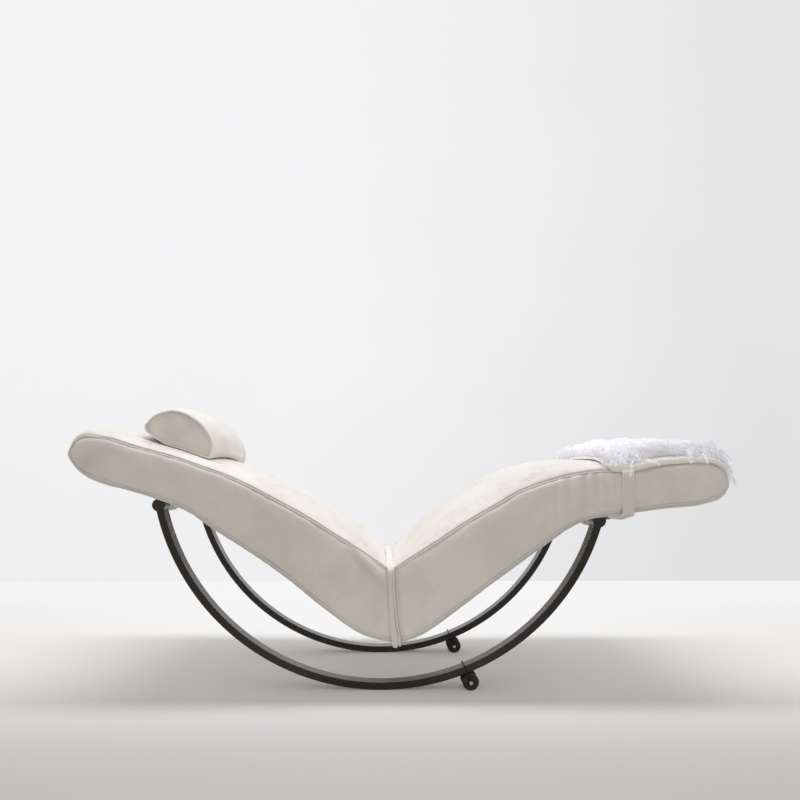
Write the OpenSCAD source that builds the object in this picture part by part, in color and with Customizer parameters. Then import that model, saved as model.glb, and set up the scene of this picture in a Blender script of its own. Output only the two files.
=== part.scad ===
// Rocking chaise longue: two upholstered halves that meet in a V, carried by two steel
// arcs that roll on the floor. Two rollers hang on the arcs and set the angle of rest.
// +X runs from head to foot, +Z is up, and the origin is on the floor under the arcs'
// centre, midway between the arcs. The chair is drawn rolled a little to the foot, as it
// stands when it leans on its rollers.

/* [Rockers] */
// Outer radius of each arc, from its centre to the line that rolls on the floor
rocker_r = 630; // [560:5:700]
// Thickness of the flat bar, along the radius
bar_t = 20; // [16:1:24]
// Depth of the flat bar, from its outer to its inner face
bar_w = 48; // [40:1:60]
// Width over both bars
frame_w = 487; // [440:1:560]
// Angle of the head tube from straight below the arcs' centre
head_angle = 78.4; // [74:0.1:80]
// Angle of the foot tube from straight below the arcs' centre
foot_angle = 74.3; // [70:0.1:76]
// Chamfer on the edges of the bar
bar_chamfer = 1.5; // [0.5:0.5:3]
// Diameter of the round eye at each end of a bar
eye_d = 35; // [32:1:38]

/* [Cross tubes] */
// Outside diameter of the tubes that join the bars
tube_d = 25; // [20:1:27]
// Wall of the tubes
tube_wall = 2.5; // [1.5:0.5:4]
// Thickness of the round cap over each tube end
cap_t = 3.5; // [2:0.5:6]
// Length of the plug of each cap inside its tube
cap_plug = 12; // [6:1:20]

/* [Saddle clamps] */
// From the centre of a cross tube to the upholstery's underside
seat_lift = 23; // [22:0.5:32]
// Width of a clamp along its tube
clamp_w = 40; // [30:1:60]
// Half of a clamp's length along the underside
clamp_half = 31; // [28:1:36]
// Wall of a clamp round its tube
clamp_wall = 5; // [3:0.5:8]
// Thickness of a clamp's flange
clamp_flange = 5; // [4:0.5:7]
// From the middle of the chair to each clamp
clamp_y = 130; // [90:5:160]
// Diameter of the clamp screws
screw_d = 6; // [4:0.5:8]
// Diameter of the clamp screws' heads
screw_head_d = 11; // [9:0.5:13]
// Height of the clamp screws' heads
screw_head_h = 4; // [3:0.5:6]
// Depth of the screws in the board
screw_bite = 12; // [6:1:16]

/* [Upholstery] */
// Width of the upholstery over its seams
body_w = 680; // [640:5:760]
// Height of the lowest point of the V above the floor
v_tip_z = 147; // [140:1:160]
// Height of the valley between the halves, at its seams
valley_z = 340; // [325:1:355]
// Distance of the V's lowest point from the origin, towards the foot
v_tip_x = 41; // [30:1:50]
// Distance of the valley from the origin, towards the foot
valley_x = 25; // [15:1:35]
// Depth of the back's side panels, from the chord between its ends to the highest seam
back_depth = 160; // [140:2:180]
// Depth of the legs' side panels, from the chord between their ends to the highest seam
leg_depth = 180; // [160:2:200]
// Rise of the back's lying surface in the middle above its seams
back_crown = 33; // [24:1:46]
// Rise of the legs' lying surface in the middle above its seams
leg_crown = 46; // [30:1:58]
// Drop of the underside in the middle below its seams
under_crown = 3; // [0:0.5:4]
// Swell of the side panels between their seams
side_swell = 5; // [0:0.5:8]
// Swell of the rounded ends in the middle
end_swell = 9; // [0:1:16]
// Diameter of the piping
piping_d = 8; // [5:0.5:10]

/* [Boards inside] */
// Thickness of the curved boards
board_t = 18; // [12:1:20]
// Padding under the boards
board_lift = 16; // [14:1:20]
// From the side seam to the edge of a board
board_inset = 45; // [35:1:60]
// Width of each plate that joins the boards
plate_w = 60; // [40:1:80]
// Thickness of each plate
plate_t = 5; // [3:0.5:6]
// From the middle of the chair to each outer plate
plate_y = 200; // [150:5:220]

/* [Band in the V] */
// Width of the band at the valley
band_top_w = 13; // [8:0.5:18]
// Width of the band at the lowest point of the V
band_tip_w = 7; // [5:0.5:12]
// How far the band stands out of the seams
band_proud = 5; // [2:0.5:8]
// Thickness of the band
band_t = 12; // [8:0.5:16]

/* [Headrest] */
// Length of the headrest across the chair
headrest_w = 462; // [400:2:560]
// Height of the headrest at its ends
headrest_h = 88; // [76:1:100]
// Extra fullness of the headrest in its middle
headrest_swell = 18; // [0:1:24]
// How far the headrest has been pushed up the back
headrest_shift = 45; // [0:5:60]

/* [Foot cover] */
// Thickness of the quilted cover over the foot end
mat_t = 9; // [6:0.5:14]
// Width of the strap under the foot end
strap_w = 31; // [20:1:45]
// Thickness of the strap
strap_t = 4; // [2.5:0.5:6]
// From the front edge of the cover to the strap
strap_setback = 10; // [8:1:30]
// How far the strap hangs below the underside
strap_sag = 17; // [6:1:24]
// Height of the feather pile in its middle
feather_h = 30; // [20:1:44]
// From the edge of the cover to the feather pile
feather_inset = 9; // [6:1:30]

/* [Position stops] */
// Diameter of a stop's roller
roller_d = 45; // [38:0.5:50]
// Length of a stop's roller
roller_w = 60; // [54:1:76]
// Width of each rubber tyre on a roller
tyre_w = 12; // [8:1:16]
// Diameter of the roller's core between its tyres
core_d = 24; // [20:1:30]
// Diameter of the core's ends inside the tyres
hub_d = 16; // [13:1:18]
// Diameter of a roller's axle
axle_d = 6; // [4:0.5:8]
// Diameter of the wire of a stop's bail
wire_d = 4; // [3:0.5:5]
// Gap between a roller and its bar
roller_gap = 2.5; // [1:0.5:4]
// Bend radius of the wire, at its centre line
wire_bend = 7; // [5:0.5:9]

/* [Hidden] */
$fn = 96;

// Clearances
soft_gap = 0.3;
rest_gap = 0.8;
seam_gap = 0.6;
pile_gap = 1.2;
fit_gap = 0.05;
run_gap = 0.5;

// Side profiles of the two halves, drawn on the chord from the V's lowest point to the
// seat over the tube. Each row is one rib: the top seam, then the bottom seam. A point is
// its fraction of the chord, then its height above the chord as a fraction of the depth.
back_ribs = [
    [[0.25, 0.9875], [0.127, -0.1625]],
    [[0.37, 1.0063], [0.29, -0.1062]],
    [[0.50, 1.0188], [0.45, 0.0187]],
    [[0.63, 1], [0.60, 0.1062]],
    [[0.76, 0.9625], [0.74, 0.1125]],
    [[0.89, 0.8625], [0.87, 0.1062]],
    [[1.02, 0.7312], [1.00, 0]],
    [[1.12, 0.6], [1.10, -0.1187]],
    [[1.21, 0.5], [1.19, -0.225]],
    [[1.275, 0.3875], [1.255, -0.2562]],
    [[1.31, 0.2375], [1.293, -0.175]],
    [[1.324, 0.1], [1.318, -0.05]]
];
leg_ribs = [
    [[0.24, 0.9444], [0.13, -0.0278]],
    [[0.36, 0.9611], [0.29, 0.0056]],
    [[0.49, 0.9889], [0.44, 0.05]],
    [[0.62, 1.0167], [0.58, 0.0778]],
    [[0.74, 1], [0.71, 0.1111]],
    [[0.86, 0.8833], [0.83, 0.1333]],
    [[0.97, 0.7556], [0.92, 0.1056]],
    [[1.07, 0.5889], [1.00, 0]],
    [[1.17, 0.3778], [1.10, -0.1722]],
    [[1.28, 0.2], [1.21, -0.3556]],
    [[1.38, 0.0389], [1.32, -0.5222]],
    [[1.45, -0.1], [1.40, -0.6222]],
    [[1.48, -0.2222], [1.445, -0.6056]],
    [[1.49, -0.3444], [1.475, -0.4889]]
];
// The ribs that stand over the tubes, counted from the V
back_seat_rib = 7;
leg_seat_rib = 8;
// Lean of the underside over each tube, from level
head_lean = 13;
foot_lean = -7;
// Stations drawn for each rib, and points across the width
rib_steps = 2;
across = 6;
// The board's last station, counted in ribs
back_board_rib = 9;
leg_board_rib = 11;
plate_ribs = 2;
// Section of the headrest: upper and lower outline, along its base and above it, as
// fractions of its height
headrest_ribs = [
    [[-1.273, 0.36], [-1.273, 0.13]],
    [[-1.193, 0.545], [-1.125, 0.045]],
    [[-0.989, 0.795], [-0.909, 0]],
    [[-0.636, 0.977], [-0.568, 0]],
    [[-0.273, 1], [-0.227, 0]],
    [[0.136, 0.909], [0.159, 0]],
    [[0.455, 0.727], [0.455, 0]],
    [[0.682, 0.5], [0.67, 0.023]],
    [[0.807, 0.33], [0.795, 0.1]]
];
// The back's station whose slope the headrest takes
headrest_station = 13;
// The leg's stations at the two ends of the foot cover
cover_first = 17;
cover_last = 27;
// Ends of the feather pile, in stations of the foot cover
feather_first = 0;
feather_last = 10;

bar_r = rocker_r - bar_t / 2;
bar_y = (frame_w - bar_w) / 2;
tube_r = tube_d / 2;
bore_r = tube_r - tube_wall;
half_w = body_w / 2;
pipe_r = piping_d / 2;
corner_cut = (pipe_r + seam_gap) * sqrt(2);
head_tube = [-bar_r * sin(head_angle), rocker_r - bar_r * cos(head_angle)];
foot_tube = [bar_r * sin(foot_angle), rocker_r - bar_r * cos(foot_angle)];
head_seat = head_tube + seat_lift * [sin(head_lean), cos(head_lean)];
foot_seat = foot_tube + seat_lift * [sin(foot_lean), cos(foot_lean)];
v_tip = [v_tip_x, v_tip_z];
valley = [valley_x, valley_z];
v_up = (valley - v_tip) / norm(valley - v_tip);
board_w = body_w - 2 * board_inset;
plate_len = rib_steps * plate_ribs;

function turned(a) = [-a[1], a[0]];
function unit(a) = a / norm(a);
function reversed(a) = [for (i = [len(a) - 1:-1:0]) a[i]];
function mix(a, b, t) = a + (b - a) * t;

// A smooth curve through points, with the same number of steps between each two
function bend(a, b, c, d, t) = 0.5 * (2 * b + (c - a) * t
    + (2 * a - 5 * b + 4 * c - d) * t * t + (3 * b - a - 3 * c + d) * t * t * t);
function smooth(p, steps) = let (n = len(p) - 1) [
    for (i = [0:n - 1]) for (k = [0:steps - 1])
        bend(p[max(i - 1, 0)], p[i], p[i + 1], p[min(i + 2, n)], k / steps),
    p[n]
];

// Seams of a half: side is -1 for the back and 1 for the legs
function on_chord(p, seat, side) = let (d = seat - v_tip, n = turned(d) * side / norm(d))
    v_tip + p[0] * d + p[1] * (side < 0 ? back_depth : leg_depth) * n;
function seam(ribs, which, seat, side) = smooth(concat(
    [which == 0 ? valley + [side * (band_top_w / 2 + soft_gap), 0]
                : v_tip + [side * (band_tip_w / 2 + soft_gap), 0]],
    [for (r = ribs) on_chord(r[which], seat, side)]), rib_steps);

back_top = seam(back_ribs, 0, head_seat, -1);
back_under = seam(back_ribs, 1, head_seat, -1);
leg_top = seam(leg_ribs, 0, foot_seat, 1);
leg_under = seam(leg_ribs, 1, foot_seat, 1);

// Fullness across the width, 1 in the middle and 0 at the seams
function full(y, edge) = 1 - pow(min(abs(y) / edge, 1), 2.5);
// The crown is low in the valley and full from a sixth of the way up
function crown_at(i, last) = (0.15 + 0.85 * min(1, i / (0.17 * last)))
    * (1 - 0.3 * pow(max(0, (i - last + 8) / 8), 2));
function end_at(i, last) = end_swell * pow(max(0, (i - last + 4) / 4), 2);

// Section of a pad between a top and a bottom seam point, counted over the top, down one
// side, back under and up the other side
function section(top, under, half, rise, drop, push, swell, cut) =
    let (up = unit(top - under), edge = half - cut, mid = (top + under) / 2)
    concat(
        [for (j = [0:across]) let (y = mix(-edge, edge, j / across), f = full(y, edge))
            lifted(top + f * (up * rise + push), y)],
        [lifted(top - up * cut, half), lifted(mid, half + swell), lifted(under + up * cut, half)],
        [for (j = [across:-1:0]) let (y = mix(-edge, edge, j / across), f = full(y, edge))
            lifted(under + f * (push - up * drop), y)],
        [lifted(under + up * cut, -half), lifted(mid, -half - swell), lifted(top - up * cut, -half)]
    );
function lifted(p, y) = [p[0], y, p[1]];

// Faces of lofts, as triangles, for rings of n points that follow each other along +X
function ring_faces(n, first, second) = [for (k = [0:n - 1]) let (m = (k + 1) % n)
    each [[first + k, first + m, second + m], [first + k, second + m, second + k]]];
function end_faces(first) = let (a = across, n = 2 * a + 8) [for (f = concat(
    [for (j = [0:a - 1]) each [[j, j + 1, 2 * a + 3 - j], [j, 2 * a + 3 - j, 2 * a + 4 - j]]],
    [for (k = [1:3]) [a, a + k, a + k + 1]],
    [for (k = [4:6]) [0, 2 * a + k, 2 * a + k + 1]])) [for (v = f) first + v]];
function flipped(faces, yes) = yes ? [for (f = faces) reversed(f)] : faces;

// Pocket for a board in a pad: a flat ring with as many points as the pad's section. Its
// sides bow out by a millimetre, which keeps the faces of its end from folding flat.
function pocket(top, under, low, high, half) = let (up = unit(top - under)) concat(
    [for (j = [0:across]) lifted(under + up * high, mix(-half, half, j / across))],
    [for (k = [1:3]) lifted(under + up * mix(high, low, k / 4), half + sin(45 * k))],
    [for (j = [across:-1:0]) lifted(under + up * low, mix(-half, half, j / across))],
    [for (k = [1:3]) lifted(under + up * mix(low, high, k / 4), -half - sin(45 * k))]);

// Half of the upholstery, with a pocket for its board that is open at the V
module upholstery(top, under, crown, last_board, side) {
    n = 2 * across + 8;
    last = len(top) - 1;
    out = unit(top[last] - top[last - 6]);
    outer = [for (i = [0:last]) each section(top[i], under[i], half_w, crown * crown_at(i, last),
        under_crown, out * end_at(i, last), side_swell, corner_cut)];
    low = board_lift - soft_gap;
    high = board_lift + board_t + soft_gap;
    past = soft_gap * unit(under[last_board] - under[last_board - 1]);
    inner = [for (i = [0:last_board]) let (p = i == last_board ? past : [0, 0])
        each pocket(top[i] + p, under[i] + p, low, high, board_w / 2 + soft_gap)];
    start = n * (last + 1);
    faces = concat(
        [for (i = [0:last - 1]) each ring_faces(n, i * n, (i + 1) * n)],
        end_faces(n * last),
        [for (i = [0:last_board - 1]) each flipped(ring_faces(n, start + i * n,
            start + (i + 1) * n), true)],
        flipped(end_faces(start + last_board * n), true),
        flipped(ring_faces(n, 0, start), true));
    polyhedron(concat(outer, inner), flipped(faces, side < 0));
}

// A pad closed at both ends
module pad(rings, side) {
    n = len(rings[0]);
    last = len(rings) - 1;
    faces = concat(
        [for (i = [0:last - 1]) each ring_faces(n, i * n, (i + 1) * n)],
        end_faces(n * last),
        flipped(end_faces(0), true));
    polyhedron([for (r = rings) each r], flipped(faces, side < 0));
}

// Line of the piping round a side panel: over the top seam, round the end and back along
// the bottom seam. It stands off where the seam turns along the ribs.
function seam_line(top, under, side, closed = false) = let (
    line = concat(top, reversed(under)),
    n = len(top), last = 2 * n - 1)
    [for (i = [0:last]) let (
        before = line[closed ? (i + last) % (last + 1) : max(i - 1, 0)],
        after = line[closed ? (i + 1) % (last + 1) : min(i + 1, last)],
        k = i < n ? i : last - i,
        up = unit(top[k] - under[k]),
        out = side * turned(unit(after - before)))
        line[i] + out * ((pipe_r + soft_gap) * (1 - abs(up * out)) + seam_gap)];
// The same line, cut short of the band in the V
function short_line(line) = let (last = len(line) - 1, back = pipe_r + soft_gap) concat(
    [line[0] + back * unit(line[1] - line[0])],
    [for (i = [1:last - 1]) line[i]],
    [line[last] + back * unit(line[last - 1] - line[last])]);

// Piping along a line in one side plane
module piping(line, y, closed) {
    n = 6;
    last = len(line) - 1;
    rings = [for (i = [0:last]) let (
        before = line[closed ? (i + last) % (last + 1) : max(i - 1, 0)],
        after = line[closed ? (i + 1) % (last + 1) : min(i + 1, last)],
        across_line = turned(unit(before - after)))
        each [for (k = [0:n - 1]) lifted(line[i] + pipe_r * cos(60 * k) * across_line,
            y + pipe_r * sin(60 * k))]];
    faces = concat(
        [for (i = [0:last - 1]) each flipped(ring_faces(n, i * n, (i + 1) * n), true)],
        closed ? flipped(ring_faces(n, last * n, 0), true)
               : [[for (k = [0:n - 1]) k], [for (k = [n - 1:-1:0]) last * n + k]]);
    polyhedron(rings, faces);
}

// A profile in the side plane, pulled across the chair
module across_chair(w, y = 0) {
    translate([0, y, 0]) rotate([90, 0, 0]) linear_extrude(w, center = true) children();
}

// A layer inside a half, between two heights above the underside
function layer_side(top, under, h, last) = [for (i = [0:last])
    under[i] + h * unit(top[i] - under[i])];

// Rockers and tubes
module rocker_bar(y) {
    c = bar_chamfer;
    color("#2b2624") translate([0, y, rocker_r]) rotate([90, 0, 0]) difference() {
        union() {
            rotate([0, 0, 270 - head_angle]) rotate_extrude(angle = head_angle + foot_angle)
                translate([bar_r, 0]) polygon([
                    [-bar_t / 2 + c, -bar_w / 2], [bar_t / 2 - c, -bar_w / 2],
                    [bar_t / 2, -bar_w / 2 + c], [bar_t / 2, bar_w / 2 - c],
                    [bar_t / 2 - c, bar_w / 2], [-bar_t / 2 + c, bar_w / 2],
                    [-bar_t / 2, bar_w / 2 - c], [-bar_t / 2, -bar_w / 2 + c]
                ]);
            for (a = [270 - head_angle, 270 + foot_angle])
                rotate([0, 0, a]) translate([bar_r, 0, 0]) cylinder(d = eye_d, h = bar_w, center = true);
        }
        for (a = [270 - head_angle, 270 + foot_angle])
            rotate([0, 0, a]) translate([bar_r, 0, 0])
                cylinder(r = tube_r + fit_gap, h = bar_w + 2, center = true);
    }
}

module cross_tube(p) {
    color("#c9c7c4") translate([p[0], 0, p[1]]) rotate([90, 0, 0]) difference() {
        cylinder(r = tube_r, h = frame_w, center = true);
        cylinder(r = bore_r, h = frame_w + 2, center = true);
    }
}

module tube_end_caps() {
    color("#1d1b1a") for (p = [head_tube, foot_tube]) for (s = [-1, 1])
        translate([p[0], s * frame_w / 2, p[1]]) rotate([s * -90, 0, 0]) {
            cylinder(d = eye_d, h = cap_t - cap_chamfer());
            translate([0, 0, cap_t - cap_chamfer()])
                cylinder(d1 = eye_d, d2 = eye_d - 2 * cap_chamfer(), h = cap_chamfer());
            translate([0, 0, -cap_plug]) cylinder(r = bore_r - fit_gap, h = cap_plug + cap_t / 2);
        }
}
function cap_chamfer() = min(1.5, cap_t / 3);

// Saddle clamps: a flange that follows the underside and an eye round the tube
function in_seat(p, seat, lean) = let (d = p - seat)
    [d[0] * cos(lean) - d[1] * sin(lean), d[0] * sin(lean) + d[1] * cos(lean)];
function clamp_edge(under, rib, seat, lean) = let (
    k = rib * rib_steps,
    a = in_seat(under[k - 1], seat, lean),
    b = in_seat(under[k + 1], seat, lean),
    low = [0, -under_crown - soft_gap],
    ends = [a * clamp_half / norm(a) + low, b * clamp_half / norm(b) + low])
    ends[0][0] < ends[1][0] ? [ends[0], low, ends[1]] : [ends[1], low, ends[0]];

module clamps(under, rib, seat, lean) {
    edge = clamp_edge(under, rib, seat, lean);
    drop = [0, -clamp_flange];
    eye = tube_r + clamp_wall;
    color("#8f8d8a") for (s = [-1, 1])
        translate([seat[0], s * clamp_y, seat[1]]) rotate([0, lean, 0]) difference() {
            across_chair(clamp_w) difference() {
                union() {
                    polygon([edge[0], edge[1], edge[2], edge[2] + drop, [eye, -seat_lift],
                        [-eye, -seat_lift], edge[0] + drop]);
                    translate([0, -seat_lift]) circle(r = eye);
                }
                translate([0, -seat_lift]) circle(r = tube_r + fit_gap);
            }
            for (t = [-1, 1]) translate([t * screw_x(), 0, 0])
                cylinder(r = screw_d / 2 + fit_gap, h = 3 * seat_lift, center = true);
            for (t = [-1, 1]) translate([t * screw_x(), 0, screw_seat(edge) - seat_lift])
                cylinder(r = screw_head_d / 2 + run_gap, h = seat_lift);
        }
}
function screw_x() = clamp_half - screw_head_d / 2 - 1;
function screw_seat(edge) = min(edge[0][1], edge[2][1]) - clamp_flange;

module screws(under, rib, seat, lean) {
    edge = clamp_edge(under, rib, seat, lean);
    foot = screw_seat(edge);
    for (s = [-1, 1]) for (t = [-1, 1])
        translate([seat[0], s * clamp_y, seat[1]]) rotate([0, lean, 0])
            translate([t * screw_x(), 0, foot]) {
                translate([0, 0, -screw_head_h]) cylinder(d = screw_head_d, h = screw_head_h);
                translate([0, 0, -screw_head_h / 2])
                    cylinder(d = screw_d, h = screw_head_h / 2 - foot + board_lift + screw_bite);
            }
}

module clamp_screws() {
    color("#a5a3a0") {
        screws(back_under, back_seat_rib, head_seat, head_lean);
        screws(leg_under, leg_seat_rib, foot_seat, foot_lean);
    }
}

// Boards inside the upholstery, and the plates that join them
function board_outline(top, under, last, side) = concat(
    [v_tip + board_lift * v_up + [side * fit_gap, 0]],
    layer_side(top, under, board_lift, last),
    reversed(layer_side(top, under, board_lift + board_t, last)),
    [v_tip + (board_lift + board_t) * v_up + [side * fit_gap, 0]]);
function plate_outline(gap) = let (
    low = board_lift + board_t - plate_t - gap,
    high = board_lift + board_t + (gap > 0 ? 1 : 0),
    past = plate_len + (gap > 0 ? 0.05 : 0)) concat(
    reversed(arm(back_top, back_under, low, past)),
    arm(leg_top, leg_under, low, past),
    reversed(arm(leg_top, leg_under, high, past)),
    arm(back_top, back_under, high, past));
function arm(top, under, h, past) = let (whole = floor(past), part = past - whole) concat(
    layer_side(top, under, h, whole),
    part > 0 ? [let (a = layer_side(top, under, h, whole + 1)) mix(a[whole], a[whole + 1], part)] : []);

module board(top, under, last, side) {
    color("#c8a878") difference() {
        across_chair(board_w) polygon(board_outline(top, under, last, side));
        for (y = [-plate_y, 0, plate_y])
            across_chair(plate_w + 2 * soft_gap, y) polygon(plate_outline(fit_gap));
    }
}

module seat_plates() {
    color("#7d7f82") for (y = [-plate_y, 0, plate_y]) across_chair(plate_w, y) polygon(plate_outline(0));
}

// Band that covers the joint between the halves
module centre_band() {
    n = 2 * across + 8;
    outer = band_proud;
    inner = band_proud - band_t;
    function wide(p) = mix(band_tip_w, band_top_w, (p[2] - v_tip_z) / (valley_z - v_tip_z)) / 2;
    function loop(grow) = section(valley + v_up * grow, v_tip - v_up * grow, half_w + grow,
        min(back_crown, leg_crown) * crown_at(0, 1), under_crown, [0, 0],
        side_swell, corner_cut);
    function shifted(ring, s) = [for (p = ring) p + [s * max(wide(p), band_tip_w / 4), 0, 0]];
    rings = [shifted(loop(outer), -1), shifted(loop(outer), 1),
        shifted(loop(inner), 1), shifted(loop(inner), -1)];
    color("#e4ddd2") polyhedron([for (r = rings) each r], [for (i = [0:3])
        each ring_faces(n, i * n, ((i + 1) % 4) * n)]);
}

module edge_piping(top, under, side) {
    line = short_line(seam_line(top, under, side));
    color("#d8d0c4") for (s = [-1, 1]) piping(line, s * half_w, false);
}

// Headrest, in the plane of the back under it
headrest_dir = unit(back_top[headrest_station - 1] - back_top[headrest_station + 1]);
headrest_at = back_top[headrest_station] - headrest_shift * headrest_dir;
function on_back(p) = headrest_at + p[0] * headrest_dir + p[1] * turned(headrest_dir);
headrest_top = smooth([for (r = headrest_ribs) headrest_h * r[0]], rib_steps);
headrest_under = smooth([for (r = headrest_ribs) headrest_h * r[1]], rib_steps);
headrest_half = headrest_w / 2;
// The underside of the headrest follows the crown of the back, and its ends stand on piping
function back_rise(y) = back_crown * full(y, half_w - corner_cut) + rest_gap
    + pipe_r * (1 - full(y, headrest_half));
function headrest_ring(i) = let (t = headrest_top[i], b = headrest_under[i],
    e = headrest_half - corner_cut, up = unit(t - b),
    last = len(headrest_top) - 1, fat = sin(180 * i / last))
    [for (q = section(t, b, headrest_half, 0, 0, [0, 0], 0, corner_cut))
        let (upper = (q[2] - b[1]) / (t[1] - b[1]), f = full(q[1], headrest_half),
            out = upper * f * headrest_swell,
            p = on_back([q[0] - out * cos(180 * i / last), q[2] + back_rise(q[1]) + out * fat]))
        lifted(p, q[1])];

module headrest_cushion() {
    color("#efebe4") pad([for (i = [0:len(headrest_top) - 1]) headrest_ring(i)], 1);
}

module headrest_piping() {
    rise = back_rise(headrest_half);
    line = [for (p = seam_line(headrest_top, headrest_under, 1, true)) on_back(p + [0, rise])];
    color("#d8d0c4") for (s = [-1, 1]) piping(line, s * headrest_half, true);
}

// Foot cover: a quilted sheet on the lying surface, its strap and its feather pile
function cover_ring(i, low, high, half) = let (top = leg_top[i], up = unit(top - leg_under[i]),
    last = len(leg_top) - 1, out = unit(leg_top[last] - leg_top[last - 6]),
    normal = turned(unit(leg_top[i + 1] - leg_top[i - 1])),
    rise = up * leg_crown * crown_at(i, last) + out * end_at(i, last))
    [for (q = section(top + normal * high, top + normal * low, half, 0, 0, [0, 0], 0, (high - low) / 4))
        let (p = rise * full(q[1], half_w - corner_cut)) q + [p[0], 0, p[1]]];
cover_half = half_w - pipe_r - soft_gap;

module foot_cover() {
    color("#ece7df") pad([for (i = [cover_first:cover_last])
        cover_ring(i, rest_gap, rest_gap + mat_t, cover_half)], 1);
}

module feather_trim() {
    low = rest_gap + mat_t + pile_gap;
    function pile(k) = feather_h * (0.6 + 0.4 * sin(180 * k / (feather_last - feather_first)));
    color("#f6f6f8") pad([for (i = [feather_first:feather_last])
        cover_ring(cover_first + i, low, low + pile(i - feather_first), cover_half - feather_inset)], 1);
}

// Heights of the seams at a place along the legs
function height_at(x, line) = lookup(x, [for (p = line) p]);
module foot_strap() {
    x0 = leg_top[cover_first][0] + strap_setback;
    x1 = x0 + strap_w;
    top = max(height_at(x0, leg_top), height_at(x1, leg_top)) + pipe_r + seam_gap + soft_gap;
    low = min(height_at(x0, leg_under), height_at(x1, leg_under)) - pipe_r - seam_gap - soft_gap;
    side = half_w + max(pipe_r, side_swell) + soft_gap;
    tip = cover_half + fit_gap;
    t = strap_t;
    function belly(g) = [for (a = [-80:20:80]) [(side + g) * sin(a), low - strap_sag * cos(a) - g]];
    color("#e4ddd2") translate([x0, 0, 0]) rotate([90, 0, 90]) linear_extrude(strap_w) polygon(concat(
        [[-tip, top], [-side, top]], [[-side, low]], belly(0), [[side, low], [side, top], [tip, top]],
        [[tip, top + t], [side + t, top + t], [side + t, low]], reversed(belly(t)),
        [[-side - t, low], [-side - t, top + t], [-tip, top + t]]));
}

// Position stops
roller_r = roller_d / 2;
stop_r = rocker_r + roller_gap + roller_r;
stop_angle = acos((rocker_r - roller_r) / stop_r);
leg_y = roller_w / 2 + run_gap + wire_d / 2 + 0.5;
eye_t = wire_d + 1;

// Local frame of a stop: the arc's centre is at the origin and the floor side is -Z
module at_stop(y) {
    translate([0, y, rocker_r]) rotate([0, -stop_angle, 0]) children();
}

module stop_bail(y) {
    r = wire_d / 2;
    top = -(rocker_r - bar_t - r - soft_gap);
    color("#35322f") at_stop(y) {
        translate([0, 0, top]) rotate([90, 0, 0])
            cylinder(r = r, h = 2 * (leg_y - wire_bend), center = true);
        for (s = [-1, 1]) {
            translate([0, s * (leg_y - wire_bend), top - wire_bend]) rotate([90, 0, s * 90])
                rotate_extrude(angle = 90) translate([wire_bend, 0]) circle(r = r);
            translate([0, s * leg_y, -stop_r + axle_d / 2])
                cylinder(r = r, h = top - wire_bend + stop_r - axle_d / 2);
            translate([0, s * leg_y, -stop_r]) rotate([90, 0, 0]) difference() {
                cylinder(r = axle_d / 2 + wire_d, h = eye_t, center = true);
                cylinder(r = axle_d / 2 + fit_gap, h = eye_t + 2, center = true);
            }
        }
    }
}

module stop_axle(y) {
    end = leg_y + eye_t / 2;
    color("#6b6865") at_stop(y) translate([0, 0, -stop_r]) rotate([90, 0, 0]) {
        cylinder(d = axle_d, h = 2 * end + 2, center = true);
        for (s = [-1, 1]) translate([0, 0, s * (end + axle_head() / 2 + fit_gap)])
            cylinder(d = axle_d + wire_d, h = axle_head(), center = true);
    }
}
function axle_head() = 2;

module stop_core(y) {
    w = roller_w / 2;
    color("#9a9794") at_stop(y) translate([0, 0, -stop_r]) rotate([90, 0, 0]) difference() {
        union() {
            cylinder(d = hub_d, h = 2 * w, center = true);
            cylinder(d = core_d, h = 2 * (w - tyre_w), center = true);
        }
        cylinder(r = axle_d / 2 + fit_gap, h = 2 * w + 2, center = true);
    }
}

module stop_tyres(y) {
    c = 2;
    color("#141312") at_stop(y) translate([0, 0, -stop_r]) rotate([90, 0, 0])
        for (s = [0, 1]) mirror([0, 0, s]) translate([0, 0, roller_w / 2 - tyre_w])
            rotate_extrude() polygon([
                [hub_d / 2 + fit_gap, 0], [roller_r - c, 0], [roller_r, c],
                [roller_r, tyre_w - c], [roller_r - c, tyre_w], [hub_d / 2 + fit_gap, tyre_w]
            ]);
}

rocker_bar(-bar_y);  // rocker_bar_near
rocker_bar(bar_y);  // rocker_bar_far
cross_tube(head_tube);  // head_cross_tube
cross_tube(foot_tube);  // foot_cross_tube
tube_end_caps();
clamps(back_under, back_seat_rib, head_seat, head_lean);  // head_clamps
clamps(leg_under, leg_seat_rib, foot_seat, foot_lean);  // foot_clamps
clamp_screws();
board(back_top, back_under, back_board_rib * rib_steps, -1);  // backrest_board
board(leg_top, leg_under, leg_board_rib * rib_steps, 1);  // legrest_board
seat_plates();
color("#e9e4dc") upholstery(back_top, back_under, back_crown, back_board_rib * rib_steps, -1);  // backrest_cushion
color("#e9e4dc") upholstery(leg_top, leg_under, leg_crown, leg_board_rib * rib_steps, 1);  // legrest_cushion
edge_piping(back_top, back_under, -1);  // backrest_piping
edge_piping(leg_top, leg_under, 1);  // legrest_piping
centre_band();
headrest_cushion();
headrest_piping();
foot_cover();
foot_strap();
feather_trim();
stop_bail(-bar_y);  // stop_near_bail
stop_axle(-bar_y);  // stop_near_axle
stop_core(-bar_y);  // stop_near_core
stop_tyres(-bar_y);  // stop_near_tyres
stop_bail(bar_y);  // stop_far_bail
stop_axle(bar_y);  // stop_far_axle
stop_core(bar_y);  // stop_far_core
stop_tyres(bar_y);  // stop_far_tyres
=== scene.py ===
"""Looks of a rocking chaise longue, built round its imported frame.

+X runs from head to foot, +Y away from the camera and +Z up. Sizes are in metres.
"""

import logging
import math
from collections.abc import Sequence
from dataclasses import dataclass, field
from enum import Enum

import bpy
import numpy as np
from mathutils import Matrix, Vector, noise


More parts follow.
